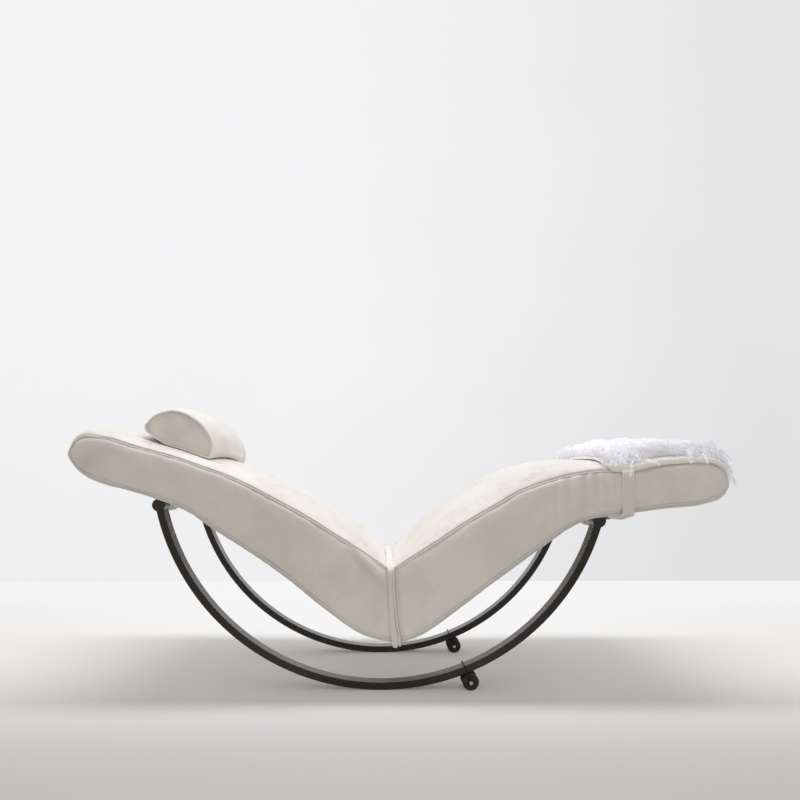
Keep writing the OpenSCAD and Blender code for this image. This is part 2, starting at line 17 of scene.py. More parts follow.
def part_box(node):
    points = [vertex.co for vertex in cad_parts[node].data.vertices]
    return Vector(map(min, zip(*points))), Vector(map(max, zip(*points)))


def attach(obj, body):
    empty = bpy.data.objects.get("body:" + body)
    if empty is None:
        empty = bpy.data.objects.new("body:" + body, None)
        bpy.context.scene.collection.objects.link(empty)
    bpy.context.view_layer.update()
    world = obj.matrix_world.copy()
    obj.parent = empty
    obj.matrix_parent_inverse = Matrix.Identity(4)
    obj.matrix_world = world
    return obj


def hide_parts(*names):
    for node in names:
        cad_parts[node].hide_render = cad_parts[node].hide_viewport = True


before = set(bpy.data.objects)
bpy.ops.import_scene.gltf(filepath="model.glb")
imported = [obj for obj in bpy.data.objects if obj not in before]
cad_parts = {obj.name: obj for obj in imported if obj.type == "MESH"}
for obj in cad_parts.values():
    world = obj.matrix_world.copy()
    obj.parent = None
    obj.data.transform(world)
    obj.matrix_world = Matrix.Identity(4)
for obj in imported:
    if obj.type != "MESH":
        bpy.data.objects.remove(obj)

log = logging.getLogger("chaise")
Array = np.ndarray
Socket = bpy.types.NodeSocket
Piece = bpy.types.Object
EDGE = 0.9999  # a block's coordinates past this lie on its outside


# ---------------------------------------------------------------- shared tools
def select_only(piece: Piece) -> None:
    """Selects one piece and makes it active, with all else deselected."""
    bpy.ops.object.select_all(action="DESELECT")
    piece.select_set(True)
    bpy.context.view_layer.objects.active = piece


def apply_modifiers(piece: Piece) -> None:
    """Applies every modifier of a piece, in order."""
    select_only(piece)
    for name in [m.name for m in piece.modifiers]:
        bpy.ops.object.modifier_apply(modifier=name)


def named(name: str) -> Piece:
    """Gives the active object and its mesh a name and returns the object."""
    piece = bpy.context.object
    piece.name = name
    piece.data.name = name
    return piece


def coords(piece: Piece) -> Array:
    """Returns the vertices of a piece as an n by 3 array."""
    flat = np.empty(len(piece.data.vertices) * 3)
    piece.data.vertices.foreach_get("co", flat)
    return flat.reshape(-1, 3)


def move_to(piece: Piece, points: Array) -> None:
    """Puts the vertices of a piece at the given points."""
    piece.data.vertices.foreach_set("co", points.astype(np.float32).ravel())
    piece.data.update()


def face_outwards(piece: Piece) -> None:
    """Turns all faces of a closed piece outwards."""
    select_only(piece)
    bpy.ops.object.mode_set(mode="EDIT")
    bpy.ops.mesh.select_all(action="SELECT")
    bpy.ops.mesh.normals_make_consistent(inside=False)
    bpy.ops.object.mode_set(mode="OBJECT")


def refine(piece: Piece, levels: int) -> None:
    """Subdivides a piece smoothly and shades it smooth."""
    if levels:
        soft = piece.modifiers.new("soft", "SUBSURF")
        soft.levels = soft.render_levels = levels
    apply_modifiers(piece)
    bpy.ops.object.shade_smooth()


def smooth_curve(points: Sequence[Sequence[float]], steps: int) -> Array:
    """Runs a smooth curve through points.

    Args:
        points: the points, each with the same number of values.
        steps: pieces between each two points.

    Returns:
        The points of the curve, one row each.
    """
    p = np.array(points, float)
    last = len(p) - 1
    rows = []
    for i in range(last):
        a, b, c, d = p[max(i - 1, 0)], p[i], p[i + 1], p[min(i + 2, last)]
        for t in np.arange(steps) / steps:
            rows.append(
                0.5
                * (
                    2 * b
                    + (c - a) * t
                    + (2 * a - 5 * b + 4 * c - d) * t**2
                    + (3 * b - a - 3 * c + d) * t**3
                )
            )
    return np.array([*rows, p[last]])


def at_even_steps(lines: Sequence[Array], share: Array) -> list[Array]:
    """Resamples lines that run side by side, at given shares of their longer run."""
    steps = np.max([np.linalg.norm(np.diff(line, axis=0), axis=1) for line in lines], axis=0)
    run = np.concatenate([[0], np.cumsum(steps)])
    wanted = share * run[-1]
    return [
        np.stack([np.interp(wanted, run, line[:, k]) for k in range(line.shape[1])], axis=1)
        for line in lines
    ]


def unit_rows(rows: Array) -> Array:
    """Scales each row to a length of 1."""
    return rows / np.linalg.norm(rows, axis=1, keepdims=True)


def crowded(u: Array, share: float = 0.18) -> Array:
    """Crowds even values from -1 to 1 towards both ends."""
    return (1 + share) * u - share * u**5


def ease(value: Array, start: float, reach: float) -> Array:
    """Rises smoothly from 0 at a start to 1 a reach further on."""
    t = np.clip((value - start) / reach, 0, 1)
    return t * t * (3 - 2 * t)


def past(value: Array, soft: float) -> Array:
    """Passes from 0 well below zero to 1 well above it, over a soft length."""
    return 1 / (1 + np.exp(-value / soft))


def hump(value: Array, size: float, power: int = 2) -> Array:
    """Returns 1 where a value is zero, falling to 0 well past a size."""
    return np.exp(-((value / size) ** power))


def at_edge(values: Array) -> Array:
    """Tells which of a block's coordinates, from -1 to 1, lie on its outside."""
    return np.abs(values) > EDGE


def between_rows(rows: Array, place: Array) -> Array:
    """Reads rows of two numbers at places between them."""
    numbers = np.arange(len(rows))
    return np.column_stack([np.interp(place, numbers, rows[:, k]) for k in (0, 1)])


def levels_of(w: Array) -> Array:
    """Turns a block's coordinates in depth into levels, from 0 below to 1 above."""
    return np.clip((1 + crowded(w)) / 2, 0, 1)


def block(name: str, across: int, deep: int, along: int) -> Piece:
    """Models a closed block of quads by extruding a grid station by station.

    Args:
        name: name of the piece.
        across: faces across, over x from -1 to 1.
        deep: faces in depth, over y from -1 to 1.
        along: stations along, over z from 0 to along.

    Returns:
        The block, ready to be shaped.
    """
    bpy.ops.object.select_all(action="DESELECT")
    bpy.ops.mesh.primitive_grid_add(x_subdivisions=across, y_subdivisions=deep, size=2)
    piece = named(name)
    bpy.ops.object.mode_set(mode="EDIT")
    bpy.ops.mesh.select_all(action="SELECT")
    for _ in range(along):
        bpy.ops.mesh.extrude_region_move(TRANSFORM_OT_translate={"value": (0, 0, 1)})
    bpy.ops.object.mode_set(mode="OBJECT")
    return piece


def ring(name: str, around: int, along: int) -> Piece:
    """Adds a closed ring of quads, whose vertices run round each section in turn.

    Args:
        name: name of the piece.
        around: points of one section.
        along: sections of the ring.

    Returns:
        The ring, ready to be shaped.
    """
    bpy.ops.object.select_all(action="DESELECT")
    bpy.ops.mesh.primitive_torus_add(major_segments=along, minor_segments=around)
    return named(name)


def spaced(total: float, near_edge: Sequence[float], count: int) -> Array:
    """Places lines over a width, close together at both edges.

    Args:
        total: the width.
        near_edge: distances of the first lines from an edge, from 0 up.
        count: spaces in all.

    Returns:
        One more place than there are spaces, from half the width below 0 to half above.
    """
    edge = np.array(near_edge)
    inner = count - 2 * (len(edge) - 1)
    middle = np.linspace(edge[-1] - total / 2, total / 2 - edge[-1], inner + 1)
    return np.array([*(edge[:-1] - total / 2), *middle, *(total / 2 - edge[-2::-1])])


def at_share(table: Sequence[Sequence[float]], share: Array) -> Array:
    """Reads rows of a table, whose first column is a rising share, at given shares."""
    places, *values = np.array(table, float).T
    return np.column_stack([np.interp(share, places, value) for value in values])


def inflate(piece: Piece, pinned: Array, pressure: float, cap: object, growth: float) -> None:
    """Lets a closed piece swell like stuffed cloth that is held along its seams.

    Args:
        piece: the piece, before it is refined.
        pinned: whether each vertex is held.
        pressure: the filling's pressure.
        cap: the furthest that a vertex may move, in metres, for all or for each.
        growth: spare cloth, as a share of its size, which gathers into creases.
    """
    rest = coords(piece)
    group = piece.vertex_groups.new(name="seams")
    group.add(np.flatnonzero(pinned).tolist(), 1.0, "REPLACE")
    cloth = piece.modifiers.new("filling", "CLOTH")
    cloth.settings.vertex_group_mass = group.name
    cloth.settings.use_pressure = True
    cloth.settings.uniform_pressure_force = pressure
    cloth.settings.effector_weights.gravity = 0
    cloth.settings.shrink_min = -growth
    cloth.settings.quality = 6
    scene = bpy.context.scene
    for moment in range(1, 21):
        scene.frame_set(moment)
    apply_modifiers(piece)
    scene.frame_set(1)
    move = coords(piece) - rest
    size = np.linalg.norm(move, axis=1, keepdims=True)
    limit = np.broadcast_to(cap, len(rest))[:, None]
    move_to(piece, rest + move * limit / (limit + size + 1e-9))
    piece.vertex_groups.clear()


def cord_along(name: str, path: Array, radius: float, closed: bool, sides: int = 10) -> Piece:
    """Makes a round cord along a path, as a mesh.

    Args:
        name: name of the piece.
        path: points of its centre line, one row each.
        radius: radius of the cord.
        closed: whether its end joins its start.
        sides: faces round the cord.

    Returns:
        The cord.
    """
    curve = bpy.data.curves.new(name, "CURVE")
    curve.dimensions = "3D"
    curve.bevel_depth = radius
    curve.bevel_resolution = max(0, sides // 2 - 2)
    curve.use_fill_caps = not closed
    spline = curve.splines.new("POLY")
    spline.points.add(len(path) - 1)
    spline.points.foreach_set("co", np.column_stack([path, np.ones(len(path))]).ravel())
    spline.use_cyclic_u = closed
    piece = bpy.data.objects.new(name, curve)
    bpy.context.scene.collection.objects.link(piece)
    select_only(piece)
    bpy.ops.object.convert(target="MESH")
    bpy.ops.object.shade_smooth()
    return named(name)


def joined(name: str, pieces: Sequence[Piece]) -> Piece:
    """Joins several pieces into one and names it."""
    select_only(pieces[0])
    for piece in pieces[1:]:
        piece.select_set(True)
    bpy.ops.object.join()
    return named(name)


def tint(piece: Piece, shade: Array, layer_name: str = "tone") -> None:
    """Writes a value for each vertex for its finish: its tone, as a share, or its creasing."""
    layer = piece.data.attributes.new(layer_name, "FLOAT", "POINT")
    layer.data.foreach_set("value", shade.astype(np.float32))


def uneven(points: Array, scale: float, seed: float) -> Array:
    """Reads smooth noise from -1 to 1 at points.

    Args:
        points: the points, one row each.
        scale: bumps to the metre.
        seed: shift that picks another pattern.

    Returns:
        One value for each point.
    """
    shift = Vector((seed, 2.3 * seed, -1.7 * seed))
    return np.array([noise.noise(Vector(p) * scale + shift) for p in points])


# ------------------------------------------------------------------- materials
class Graph:
    """A small writer for one node tree."""

    def __init__(self, tree: bpy.types.NodeTree) -> None:
        """Starts an empty tree."""
        self.tree = tree
        tree.nodes.clear()

    def add(self, kind: str, **values: object) -> bpy.types.Node:
        """Adds a node and sets its properties, or its inputs where the name isn't one.

        Args:
            kind: the node's type.
            values: properties, or inputs with spaces written as underscores.

        Returns:
            The node.
        """
        node = self.tree.nodes.new(kind)
        for key, value in values.items():
            if hasattr(node, key):
                setattr(node, key, value)
                continue
            wanted = key.replace("_", " ").strip()
            socket = next(s for s in node.inputs if s.name.lower() == wanted.lower())
            self.feed(socket, value)
        return node

    def feed(self, socket: Socket, value: object) -> None:
        """Links a socket into an input, or sets the input's own value."""
        if isinstance(value, bpy.types.NodeSocket):
            self.tree.links.new(value, socket)
        elif isinstance(value, tuple) and len(value) == 3 and socket.type == "RGBA":
            socket.default_value = (*value, 1)
        else:
            socket.default_value = value

    def maths(self, operation: str, a: object, b: object = 0.0) -> Socket:
        """Adds a maths node and returns its result."""
        node = self.tree.nodes.new("ShaderNodeMath")
        node.operation = operation
        self.feed(node.inputs[0], a)
        self.feed(node.inputs[1], b)
        return node.outputs[0]

    def ramp(self, value: object, low: float, high: float, to: tuple = (0.0, 1.0)) -> Socket:
        """Maps a range of values to another, smoothly and clamped."""
        node = self.add("ShaderNodeMapRange", interpolation_type="SMOOTHSTEP")
        for k, number in enumerate((value, low, high, *to)):
            self.feed(node.inputs[k], number)
        return node.outputs[0]

    def blend(self, share: object, a: object, b: object, how: str = "MIX") -> Socket:
        """Mixes two colours and returns the result."""
        node = self.add("ShaderNodeMix", data_type="RGBA", blend_type=how)
        self.feed(node.inputs[0], share)
        self.feed(node.inputs[6], a)
        self.feed(node.inputs[7], b)
        return node.outputs[2]

    def stretched(self, place: Socket, by: tuple[float, float, float]) -> Socket:
        """Scales coordinates along each axis."""
        node = self.add("ShaderNodeVectorMath", operation="MULTIPLY")
        self.feed(node.inputs[0], place)
        self.feed(node.inputs[1], by)
        return node.outputs[0]

    def attribute(self, name: str) -> Socket:
        """Reads a value that tint wrote to the mesh."""
        return self.add("ShaderNodeAttribute", attribute_name=name).outputs["Fac"]

    def noise(
        self, place: object, scale: float, detail: float = 3.0, rough: float = 0.5
    ) -> Socket:
        """Adds a noise texture and returns its value."""
        node = self.add("ShaderNodeTexNoise", Vector=place, Scale=scale, Detail=detail)
        self.feed(node.inputs["Roughness"], rough)
        return node.outputs[0]

    def place(self) -> Socket:
        """Returns the piece's own coordinates."""
        return self.add("ShaderNodeTexCoord").outputs["Object"]


class Group(Enum):
    """The shared effects, by the names of their node groups."""

    NAP = "brushed_nap"
    WEAVE = "cloth_weave"
    GRAIN = "metal_grain"
    DUST = "settled_dust"


def group_of(which: Group) -> bpy.types.NodeTree:
    """Returns a shared effect's node group, and builds it the first time."""
    if which.value in bpy.data.node_groups:
        return bpy.data.node_groups[which.value]
    tree = bpy.data.node_groups.new(which.value, "ShaderNodeTree")
    graph = Graph(tree)
    tree.interface.new_socket("Place", in_out="INPUT", socket_type="NodeSocketVector")
    tree.interface.new_socket("Scale", in_out="INPUT", socket_type="NodeSocketFloat")
    tree.interface.new_socket("Mask", in_out="OUTPUT", socket_type="NodeSocketFloat")
    tree.interface.new_socket("Height", in_out="OUTPUT", socket_type="NodeSocketFloat")
    entry = graph.add("NodeGroupInput")
    exit_node = graph.add("NodeGroupOutput")
    place, scale = entry.outputs["Place"], entry.outputs["Scale"]
    at_scale = graph.add("ShaderNodeVectorMath", operation="SCALE", Vector=place, Scale=scale)
    spot = at_scale.outputs[0]
    if which is Group.NAP:
        drift = graph.noise(spot, 5.0, 2.0)
        hand = graph.noise(spot, 23.0, 4.0, 0.6)
        stroked = graph.maths("ADD", drift, graph.maths("MULTIPLY", hand, 0.6))
        mask = graph.ramp(stroked, 0.66, 0.98)
        fine, tufts = graph.noise(spot, 900.0, 2.0), graph.noise(spot, 190.0, 3.0)
        height = graph.maths("ADD", fine, graph.maths("MULTIPLY", tufts, 1.4))
    elif which is Group.WEAVE:
        warp = graph.add("ShaderNodeTexWave", Vector=spot, Scale=210.0, bands_direction="X")
        weft = graph.add("ShaderNodeTexWave", Vector=spot, Scale=210.0, bands_direction="Y")
        height = graph.maths("MAXIMUM", warp.outputs[1], weft.outputs[1])
        mask = graph.noise(spot, 40.0, 4.0)
    elif which is Group.GRAIN:
        mask = graph.ramp(graph.noise(spot, 9.0, 5.0, 0.65), 0.35, 0.72)
        height = graph.noise(spot, 420.0, 3.0, 0.6)
    else:
        normal = graph.add("ShaderNodeNewGeometry").outputs["Normal"]
        facing = graph.add("ShaderNodeSeparateXYZ", Vector=normal)
        up = graph.ramp(facing.outputs[2], 0.2, 0.95)
        height = graph.noise(spot, 60.0, 5.0, 0.7)
        mask = graph.maths("MULTIPLY", up, graph.ramp(height, 0.35, 0.75))
    graph.feed(exit_node.inputs["Mask"], mask)
    graph.feed(exit_node.inputs["Height"], height)
    return tree


@dataclass(frozen=True)
class Finish:
    """What all finishes share: a name, a colour and how rough they are."""

    name: str
    colour: tuple[float, float, float]
    roughness: float

    def material(self) -> bpy.types.Material:
        """Returns the finish's material, and makes it the first time."""
        if self.name in bpy.data.materials:
            return bpy.data.materials[self.name]
        made = bpy.data.materials.new(self.name)
        made.use_nodes = True
        graph = Graph(made.node_tree)
        surface = graph.add("ShaderNodeBsdfPrincipled", Roughness=self.roughness)
        out = graph.add("ShaderNodeOutputMaterial")
        graph.feed(out.inputs["Surface"], surface.outputs[0])
        self.dress(graph, surface, graph.place())
        return made

    def dress(self, graph: Graph, surface: bpy.types.Node, place: Socket) -> None:
        """Gives the surface its colour and detail. Each finish has its own."""
        raise NotImplementedError

    def effect(
        self, graph: Graph, which: Group, place: Socket, scale: float = 1.0
    ) -> bpy.types.Node:
        """Places a shared effect in the material."""
        node = graph.add("ShaderNodeGroup", node_tree=group_of(which))
        graph.feed(node.inputs["Place"], place)
        graph.feed(node.inputs["Scale"], scale)
        return node

    def bump(self, graph: Graph, surface: bpy.types.Node, height: object, depth: float) -> None:
        """Raises the surface by a height map, depth metres high."""
        node = graph.add("ShaderNodeBump", Strength=1.0, Distance=depth, Height=height)
        graph.feed(surface.inputs["Normal"], node.outputs[0])


@dataclass(frozen=True)
class Suede(Finish):
    """Pale brushed cloth with a nap that shows where hands have passed."""

    marked: tuple[float, float, float] = (0.7, 0.65, 0.58)
    nap_share: float = 0.35
    weave: float = 0.0
    crease_shade: float = 0.09
    crease_depth: float = 4.5

    def dress(self, graph: Graph, surface: bpy.types.Node, place: Socket) -> None:
        """Adds nap marks, fibre speckle, painted light and shade from the tone attribute, painted
        shade in creases, sheen and a fine bump.
        """
        nap = self.effect(graph, Group.NAP, place)
        patches = graph.maths("MULTIPLY", nap.outputs["Mask"], self.nap_share)
        colour = graph.blend(patches, self.colour, self.marked)
        speck = graph.ramp(graph.noise(place, 700.0, 2.0), 0.3, 0.7, (0.93, 1.04))
        colour = graph.blend(1.0, colour, speck, "MULTIPLY")
        # The tone attribute holds random nap strokes and painted light and shade from the
        # modelling.
        tone = graph.maths("ADD", graph.attribute("tone"), 1.0)
        colour = graph.blend(1.0, colour, tone, "MULTIPLY")
        crease = self.crease(graph, place)
        # Painted shade in the thin creases.
        deep = graph.maths("SUBTRACT", 1.0, graph.maths("MULTIPLY", crease, self.crease_shade))
        graph.feed(surface.inputs["Base Color"], graph.blend(1.0, colour, deep, "MULTIPLY"))
        rough = graph.ramp(nap.outputs["Mask"], 0.0, 1.0, (self.roughness, self.roughness - 0.1))
        graph.feed(surface.inputs["Roughness"], rough)
        surface.inputs["Sheen Weight"].default_value = 0.25
        surface.inputs["Sheen Roughness"].default_value = 0.45
        surface.inputs["Specular IOR Level"].default_value = 0.25
        sunk = graph.maths("MULTIPLY", crease, self.crease_depth)
        height = graph.maths("SUBTRACT", nap.outputs["Height"], sunk)
        if self.weave:
            threads = self.effect(graph, Group.WEAVE, place).outputs["Height"]
            height = graph.maths("ADD", height, graph.maths("MULTIPLY", threads, self.weave))
        self.bump(graph, surface, height, 0.00022)

    def crease(self, graph: Graph, place: Socket) -> Socket:
        """Finds thin creases along the chair, where the cloth's own creasing allows them."""
        drift = graph.noise(graph.stretched(place, (0.45, 1.0, 0.7)), 42.0, 3.0)
        off = graph.maths("ABSOLUTE", graph.maths("SUBTRACT", drift, 0.5))
        line = graph.ramp(off, 0.0, 0.035, (1.0, 0.0))
        here = graph.ramp(graph.noise(place, 13.0, 2.0), 0.48, 0.62)
        here = graph.maths("MULTIPLY", line, here)
        return graph.maths("MULTIPLY", here, graph.attribute("creasing"))


@dataclass(frozen=True)
class Enamel(Finish):
    """Baked paint on steel: fine orange peel, and dust where it faces up."""

    metallic: float = 0.0
    coat: float = 0.15
    dust: float = 0.12

    def dress(self, graph: Graph, surface: bpy.types.Node, place: Socket) -> None:
        """Adds tone drift, dust, orange peel and a thin coat."""
        grain = self.effect(graph, Group.GRAIN, place)
        paler = tuple(min(1.0, c * 1.3 + 0.001) for c in self.colour)
        colour = graph.blend(grain.outputs["Mask"], self.colour, paler)
        dust = self.effect(graph, Group.DUST, place)
        share = graph.maths("MULTIPLY", dust.outputs["Mask"], self.dust)
        colour = graph.blend(share, colour, (0.42, 0.4, 0.37))
        graph.feed(surface.inputs["Base Color"], colour)
        spread = (self.roughness, self.roughness + 0.06)
        rough = graph.ramp(grain.outputs["Mask"], 0.0, 1.0, spread)
        graph.feed(surface.inputs["Roughness"], graph.maths("ADD", rough, share))
        surface.inputs["Metallic"].default_value = self.metallic
        surface.inputs["Coat Weight"].default_value = self.coat
        surface.inputs["Specular IOR Level"].default_value = 0.3
        surface.inputs["Coat Roughness"].default_value = 0.16
        self.bump(graph, surface, grain.outputs["Height"], 0.00012)


@dataclass(frozen=True)
class Steel(Finish):
    """Bare steel with a drawn grain along one direction."""

    drawn: tuple[float, float, float] = (1.0, 0.05, 1.0)

    def dress(self, graph: Graph, surface: bpy.types.Node, place: Socket) -> None:
        """Adds the drawn grain to colour, roughness and bump."""
        streaks = graph.noise(graph.stretched(place, self.drawn), 700.0, 3.0, 0.6)
        grain = self.effect(graph, Group.GRAIN, place)
        darker = tuple(c * 0.72 for c in self.colour)
        colour = graph.blend(grain.outputs["Mask"], self.colour, darker)
        graph.feed(surface.inputs["Base Color"], colour)
        surface.inputs["Metallic"].default_value = 1.0
        rough = graph.ramp(streaks, 0.2, 0.8, (self.roughness - 0.06, self.roughness + 0.1))
        graph.feed(surface.inputs["Roughness"], rough)
        self.bump(graph, surface, streaks, 0.00005)


@dataclass(frozen=True)
class Moulded(Finish):
    """Rubber or plastic with a fine eroded texture."""

    def dress(self, graph: Graph, surface: bpy.types.Node, place: Socket) -> None:
        """Adds tone drift, dust and the texture."""
        grain = self.effect(graph, Group.GRAIN, place, 1.6)
        dust = self.effect(graph, Group.DUST, place)
        paler = tuple(c * 1.5 + 0.01 for c in self.colour)
        colour = graph.blend(grain.outputs["Mask"], self.colour, paler)
        share = graph.maths("MULTIPLY", dust.outputs["Mask"], 0.2)
        graph.feed(surface.inputs["Base Color"], graph.blend(share, colour, (0.4, 0.38, 0.35)))
        spread = (self.roughness, self.roughness + 0.15)
        rough = graph.ramp(grain.outputs["Mask"], 0.0, 1.0, spread)
        graph.feed(surface.inputs["Roughness"], rough)
        self.bump(graph, surface, grain.outputs["Height"], 0.0002)


@dataclass(frozen=True)
class Plywood(Finish):
    """Birch plywood with long grain and thin glue lines."""

    def dress(self, graph: Graph, surface: bpy.types.Node, place: Socket) -> None:
        """Adds grain along the board and glue lines through its thickness."""
        grain = graph.noise(graph.stretched(place, (1.0, 9.0, 1.0)), 14.0, 6.0, 0.65)
        darker = tuple(c * 0.7 for c in self.colour)
        colour = graph.blend(graph.ramp(grain, 0.35, 0.7), self.colour, darker)
        lines = graph.add("ShaderNodeTexWave", Vector=place, Scale=110.0, bands_direction="Z")
        glue = graph.ramp(lines.outputs[1], 0.9, 1.0, (0.0, 0.4))
        graph.feed(surface.inputs["Base Color"], graph.blend(glue, colour, (0.2, 0.12, 0.06)))
        self.bump(graph, surface, grain, 0.0003)


@dataclass(frozen=True)
class Plume(Finish):
    """White feathers or down. Some light passes through, which a faint glow stands for."""

    cover: float = 0.7
    glow: float = 0.38

    def dress(self, graph: Graph, surface: bpy.types.Node, place: Socket) -> None:
        """Adds cool shade in the depth of the pile and light through the barbs."""
        drift = graph.noise(place, 60.0, 3.0)
        shade = tuple(c * 0.9 for c in self.colour[:2]) + (self.colour[2] * 0.96,)
        deep = graph.maths("ADD", graph.attribute("tone"), 1.0)
        colour = graph.blend(graph.ramp(drift, 0.3, 0.7), self.colour, shade)
        graph.feed(surface.inputs["Base Color"], graph.blend(1.0, colour, deep, "MULTIPLY"))
        surface.inputs["Sheen Weight"].default_value = 0.3
        surface.inputs["Alpha"].default_value = self.cover
        glow = graph.blend(1.0, (0.95, 0.94, 1.0), deep, "MULTIPLY")
        graph.feed(surface.inputs["Emission Color"], glow)
        surface.inputs["Emission Strength"].default_value = self.glow
        surface.inputs["Specular IOR Level"].default_value = 0.3
        self.bump(graph, surface, graph.noise(place, 500.0, 2.0), 0.0002)


class Finishes:
    """Every finish of the chaise, by what it covers."""

    BARS = Enamel("dark_bar_enamel", (0.014, 0.0088, 0.0068), 0.26, 0.0, 0.4, 0.02)
    CAPS = Moulded("cap_plastic", (0.012, 0.011, 0.01), 0.5)
    TUBES = Enamel("pale_tube_enamel", (0.74, 0.73, 0.71), 0.55, 0.0, 0.1, 0.05)
    CLAMPS = Enamel("clamp_enamel", (0.7, 0.69, 0.67), 0.5, 0.0, 0.1, 0.05)
    SCREWS = Steel("screw_steel", (0.6, 0.59, 0.57), 0.35, (1.0, 1.0, 1.0))
    BOARDS = Plywood("birch_plywood", (0.55, 0.38, 0.22), 0.6)
    PLATES = Enamel("plate_primer", (0.08, 0.08, 0.085), 0.6)
    BODY = Suede("ivory_suede", (0.86, 0.828, 0.79), 0.86, (0.73, 0.685, 0.63), 0.35)
    SEAMS = Suede("seam_piping_cloth", (0.87, 0.845, 0.81), 0.84, (0.78, 0.74, 0.69), 0.3, 0.4)
    # The band and the strap use the body's cloth, painted a little darker as shade, for they stand
    # proud and catch more light.
    BAND = Suede("band_cloth", (0.83, 0.805, 0.775), 0.85, (0.74, 0.7, 0.655), 0.3)
    BOLSTER = Suede("headrest_suede", (0.84, 0.808, 0.77), 0.86, (0.7, 0.65, 0.595), 0.4)
    COVER = Suede("cover_suede", (0.86, 0.83, 0.79), 0.86, (0.79, 0.75, 0.7), 0.3)
    STRAP = Suede("strap_cloth", (0.8, 0.766, 0.727), 0.85, (0.7, 0.66, 0.61), 0.3, 0.5)
    FEATHERS = Plume("white_feathers", (0.5, 0.5, 0.512), 0.7)
    DOWN = Plume("white_down", (0.46, 0.46, 0.472), 0.9, 1.0, 0.34)
    WIRE = Enamel("bail_enamel", (0.012, 0.009, 0.0075), 0.5, 0.0, 0.0, 0.0)
    AXLE = Steel("axle_steel", (0.09, 0.08, 0.075), 0.5)
    CORE = Steel("core_alloy", (0.05, 0.047, 0.045), 0.5, (1.0, 1.0, 1.0))
    TYRE = Moulded("tyre_rubber", (0.014, 0.013, 0.012), 0.62)


def coat(piece: Piece, material: bpy.types.Material) -> None:
    """Puts one material on the whole of a piece."""
    piece.data.materials.clear()
    piece.data.materials.append(material)


def hand_in(
    piece: Piece, body: str, finish: Finish, nodes: Sequence[str] = ()
) -> None:
    """Finishes a piece and ties it to the frame.

    Args:
        piece: the finished piece.
        body: the body that it rides on.
        finish: its finish.
        nodes: the CAD nodes that it stands for.
    """
    coat(piece, finish.material())
    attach(piece, body)
    if nodes:
        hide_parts(*nodes)
    log.info("%s: %d faces on %s", piece.name, len(piece.data.polygons), body)


# ------------------------------------------------------------------ upholstery
@dataclass(frozen=True)
class Half:
    """Side shape of one upholstered half, along the chord from the V to its tube.

    Each rib is its top and bottom seam: a fraction of the chord and of the depth.
    """

    name: str
    side: int
    depth: float
    crown: float
    lean: float
    tube: str
    ribs: tuple
    along: int
    fullness: tuple = ((2.5, 0.0), (2.5, 0.0))
    widens: tuple[float, float] = (0.45, 0.25)
    nose: tuple[float, float] = (0.4, 0.16)
    # The nap pair is painted light and shade on the side panels: a tone shift over the whole
    # panel, and one over the rounded end.
    nap: tuple[float, float] = (0.0, -0.05)
    tip: tuple[float, float] = (0.041, 0.147)
    valley: tuple[float, float] = (0.025, 0.340)
    lift: float = 0.023
    gap_tip: float = 0.0038
    gap_valley: float = 0.0068
    half_width: float = 0.34
    crown_change: tuple[float, float, float] = (0.17, 0.6, 0.25)
    bow: tuple = ((0.0, 0.0), (1.0, 0.0))
    pressed: float = 0.0
    knee: tuple[float, float, float] = (0.0, 0.49, 0.14)
    # How strongly the lying surface puckers: its dents and the painted shade in them.
    pucker_share: float = 1.0
    puff: float = 0.0

    def seat(self) -> Array:
        """Returns the point of the underside over the cross tube."""
        low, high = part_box(self.tube)
        lean = math.radians(self.lean)
        return np.array(
            [
                (low.x + high.x) / 2 + self.lift * math.sin(lean),
                (low.z + high.z) / 2 + self.lift * math.cos(lean),
            ]
        )

    def stations(self, steps: int) -> tuple[Array, Array]:
        """Returns the top and the bottom seam with the same steps between each two ribs."""
        tip, valley = np.array(self.tip), np.array(self.valley)
        chord = self.seat() - tip
        normal = np.array([-chord[1], chord[0]]) * self.side / np.linalg.norm(chord)
        rows = [
            [tip + u * chord + v * self.depth * normal for u, v in rib] for rib in self.ribs
        ]
        start_top = valley + (self.side * self.gap_valley, 0)
        start_low = tip + (self.side * self.gap_tip, 0)
        return (
            smooth_curve([start_top, *[r[0] for r in rows]], steps),
            smooth_curve([start_low, *[r[1] for r in rows]], steps),
        )

    def shares(self) -> Array:
        """Returns how far along each station is, from 0 to 1, closer together at the end."""
        return 1 - (1 - np.arange(self.along + 1) / self.along) ** 1.4

    def seams(self) -> tuple[Array, Array]:
        """Returns the top and the bottom seam at its stations, from the V to the end."""
        top, low = at_even_steps(self.stations(24), self.shares())
        return top, low


BACK = Half(
    name="backrest",
    side=-1,
    depth=0.160,
    crown=0.033,
    lean=13,
    tube="head_cross_tube",
    along=150,
    fullness=((2.3, 0.0), (1.6, 0.0)),
    nose=(0.75, 0.10),
    nap=(0.0, -0.09),
    crown_change=(0.36, 0.6, 0.25),
    pressed=0.003,
    puff=1.2,
    ribs=(
        ((0.25, 0.9875), (0.127, -0.1625)),
        ((0.37, 1.0063), (0.29, -0.1062)),
        ((0.50, 1.0188), (0.4468, -0.0064)),
        ((0.63, 1.0), (0.5927, 0.0462)),
        ((0.76, 0.9625), (0.7348, 0.0734)),
        ((0.89, 0.8625), (0.87, 0.103)),
        ((1.02, 0.7312), (1.00, 0.0)),
        ((1.12, 0.6), (1.10, -0.1187)),
        ((1.21, 0.5), (1.19, -0.225)),
        ((1.2755, 0.3659), (1.2442, -0.2313)),
        ((1.2987, 0.2942), (1.2698, -0.2042)),
        ((1.3115, 0.2126), (1.2890, -0.1600)),
        ((1.3161, 0.1293), (1.3015, -0.1200)),
        ((1.3157, 0.0401), (1.3100, -0.0765)),
    ),
)
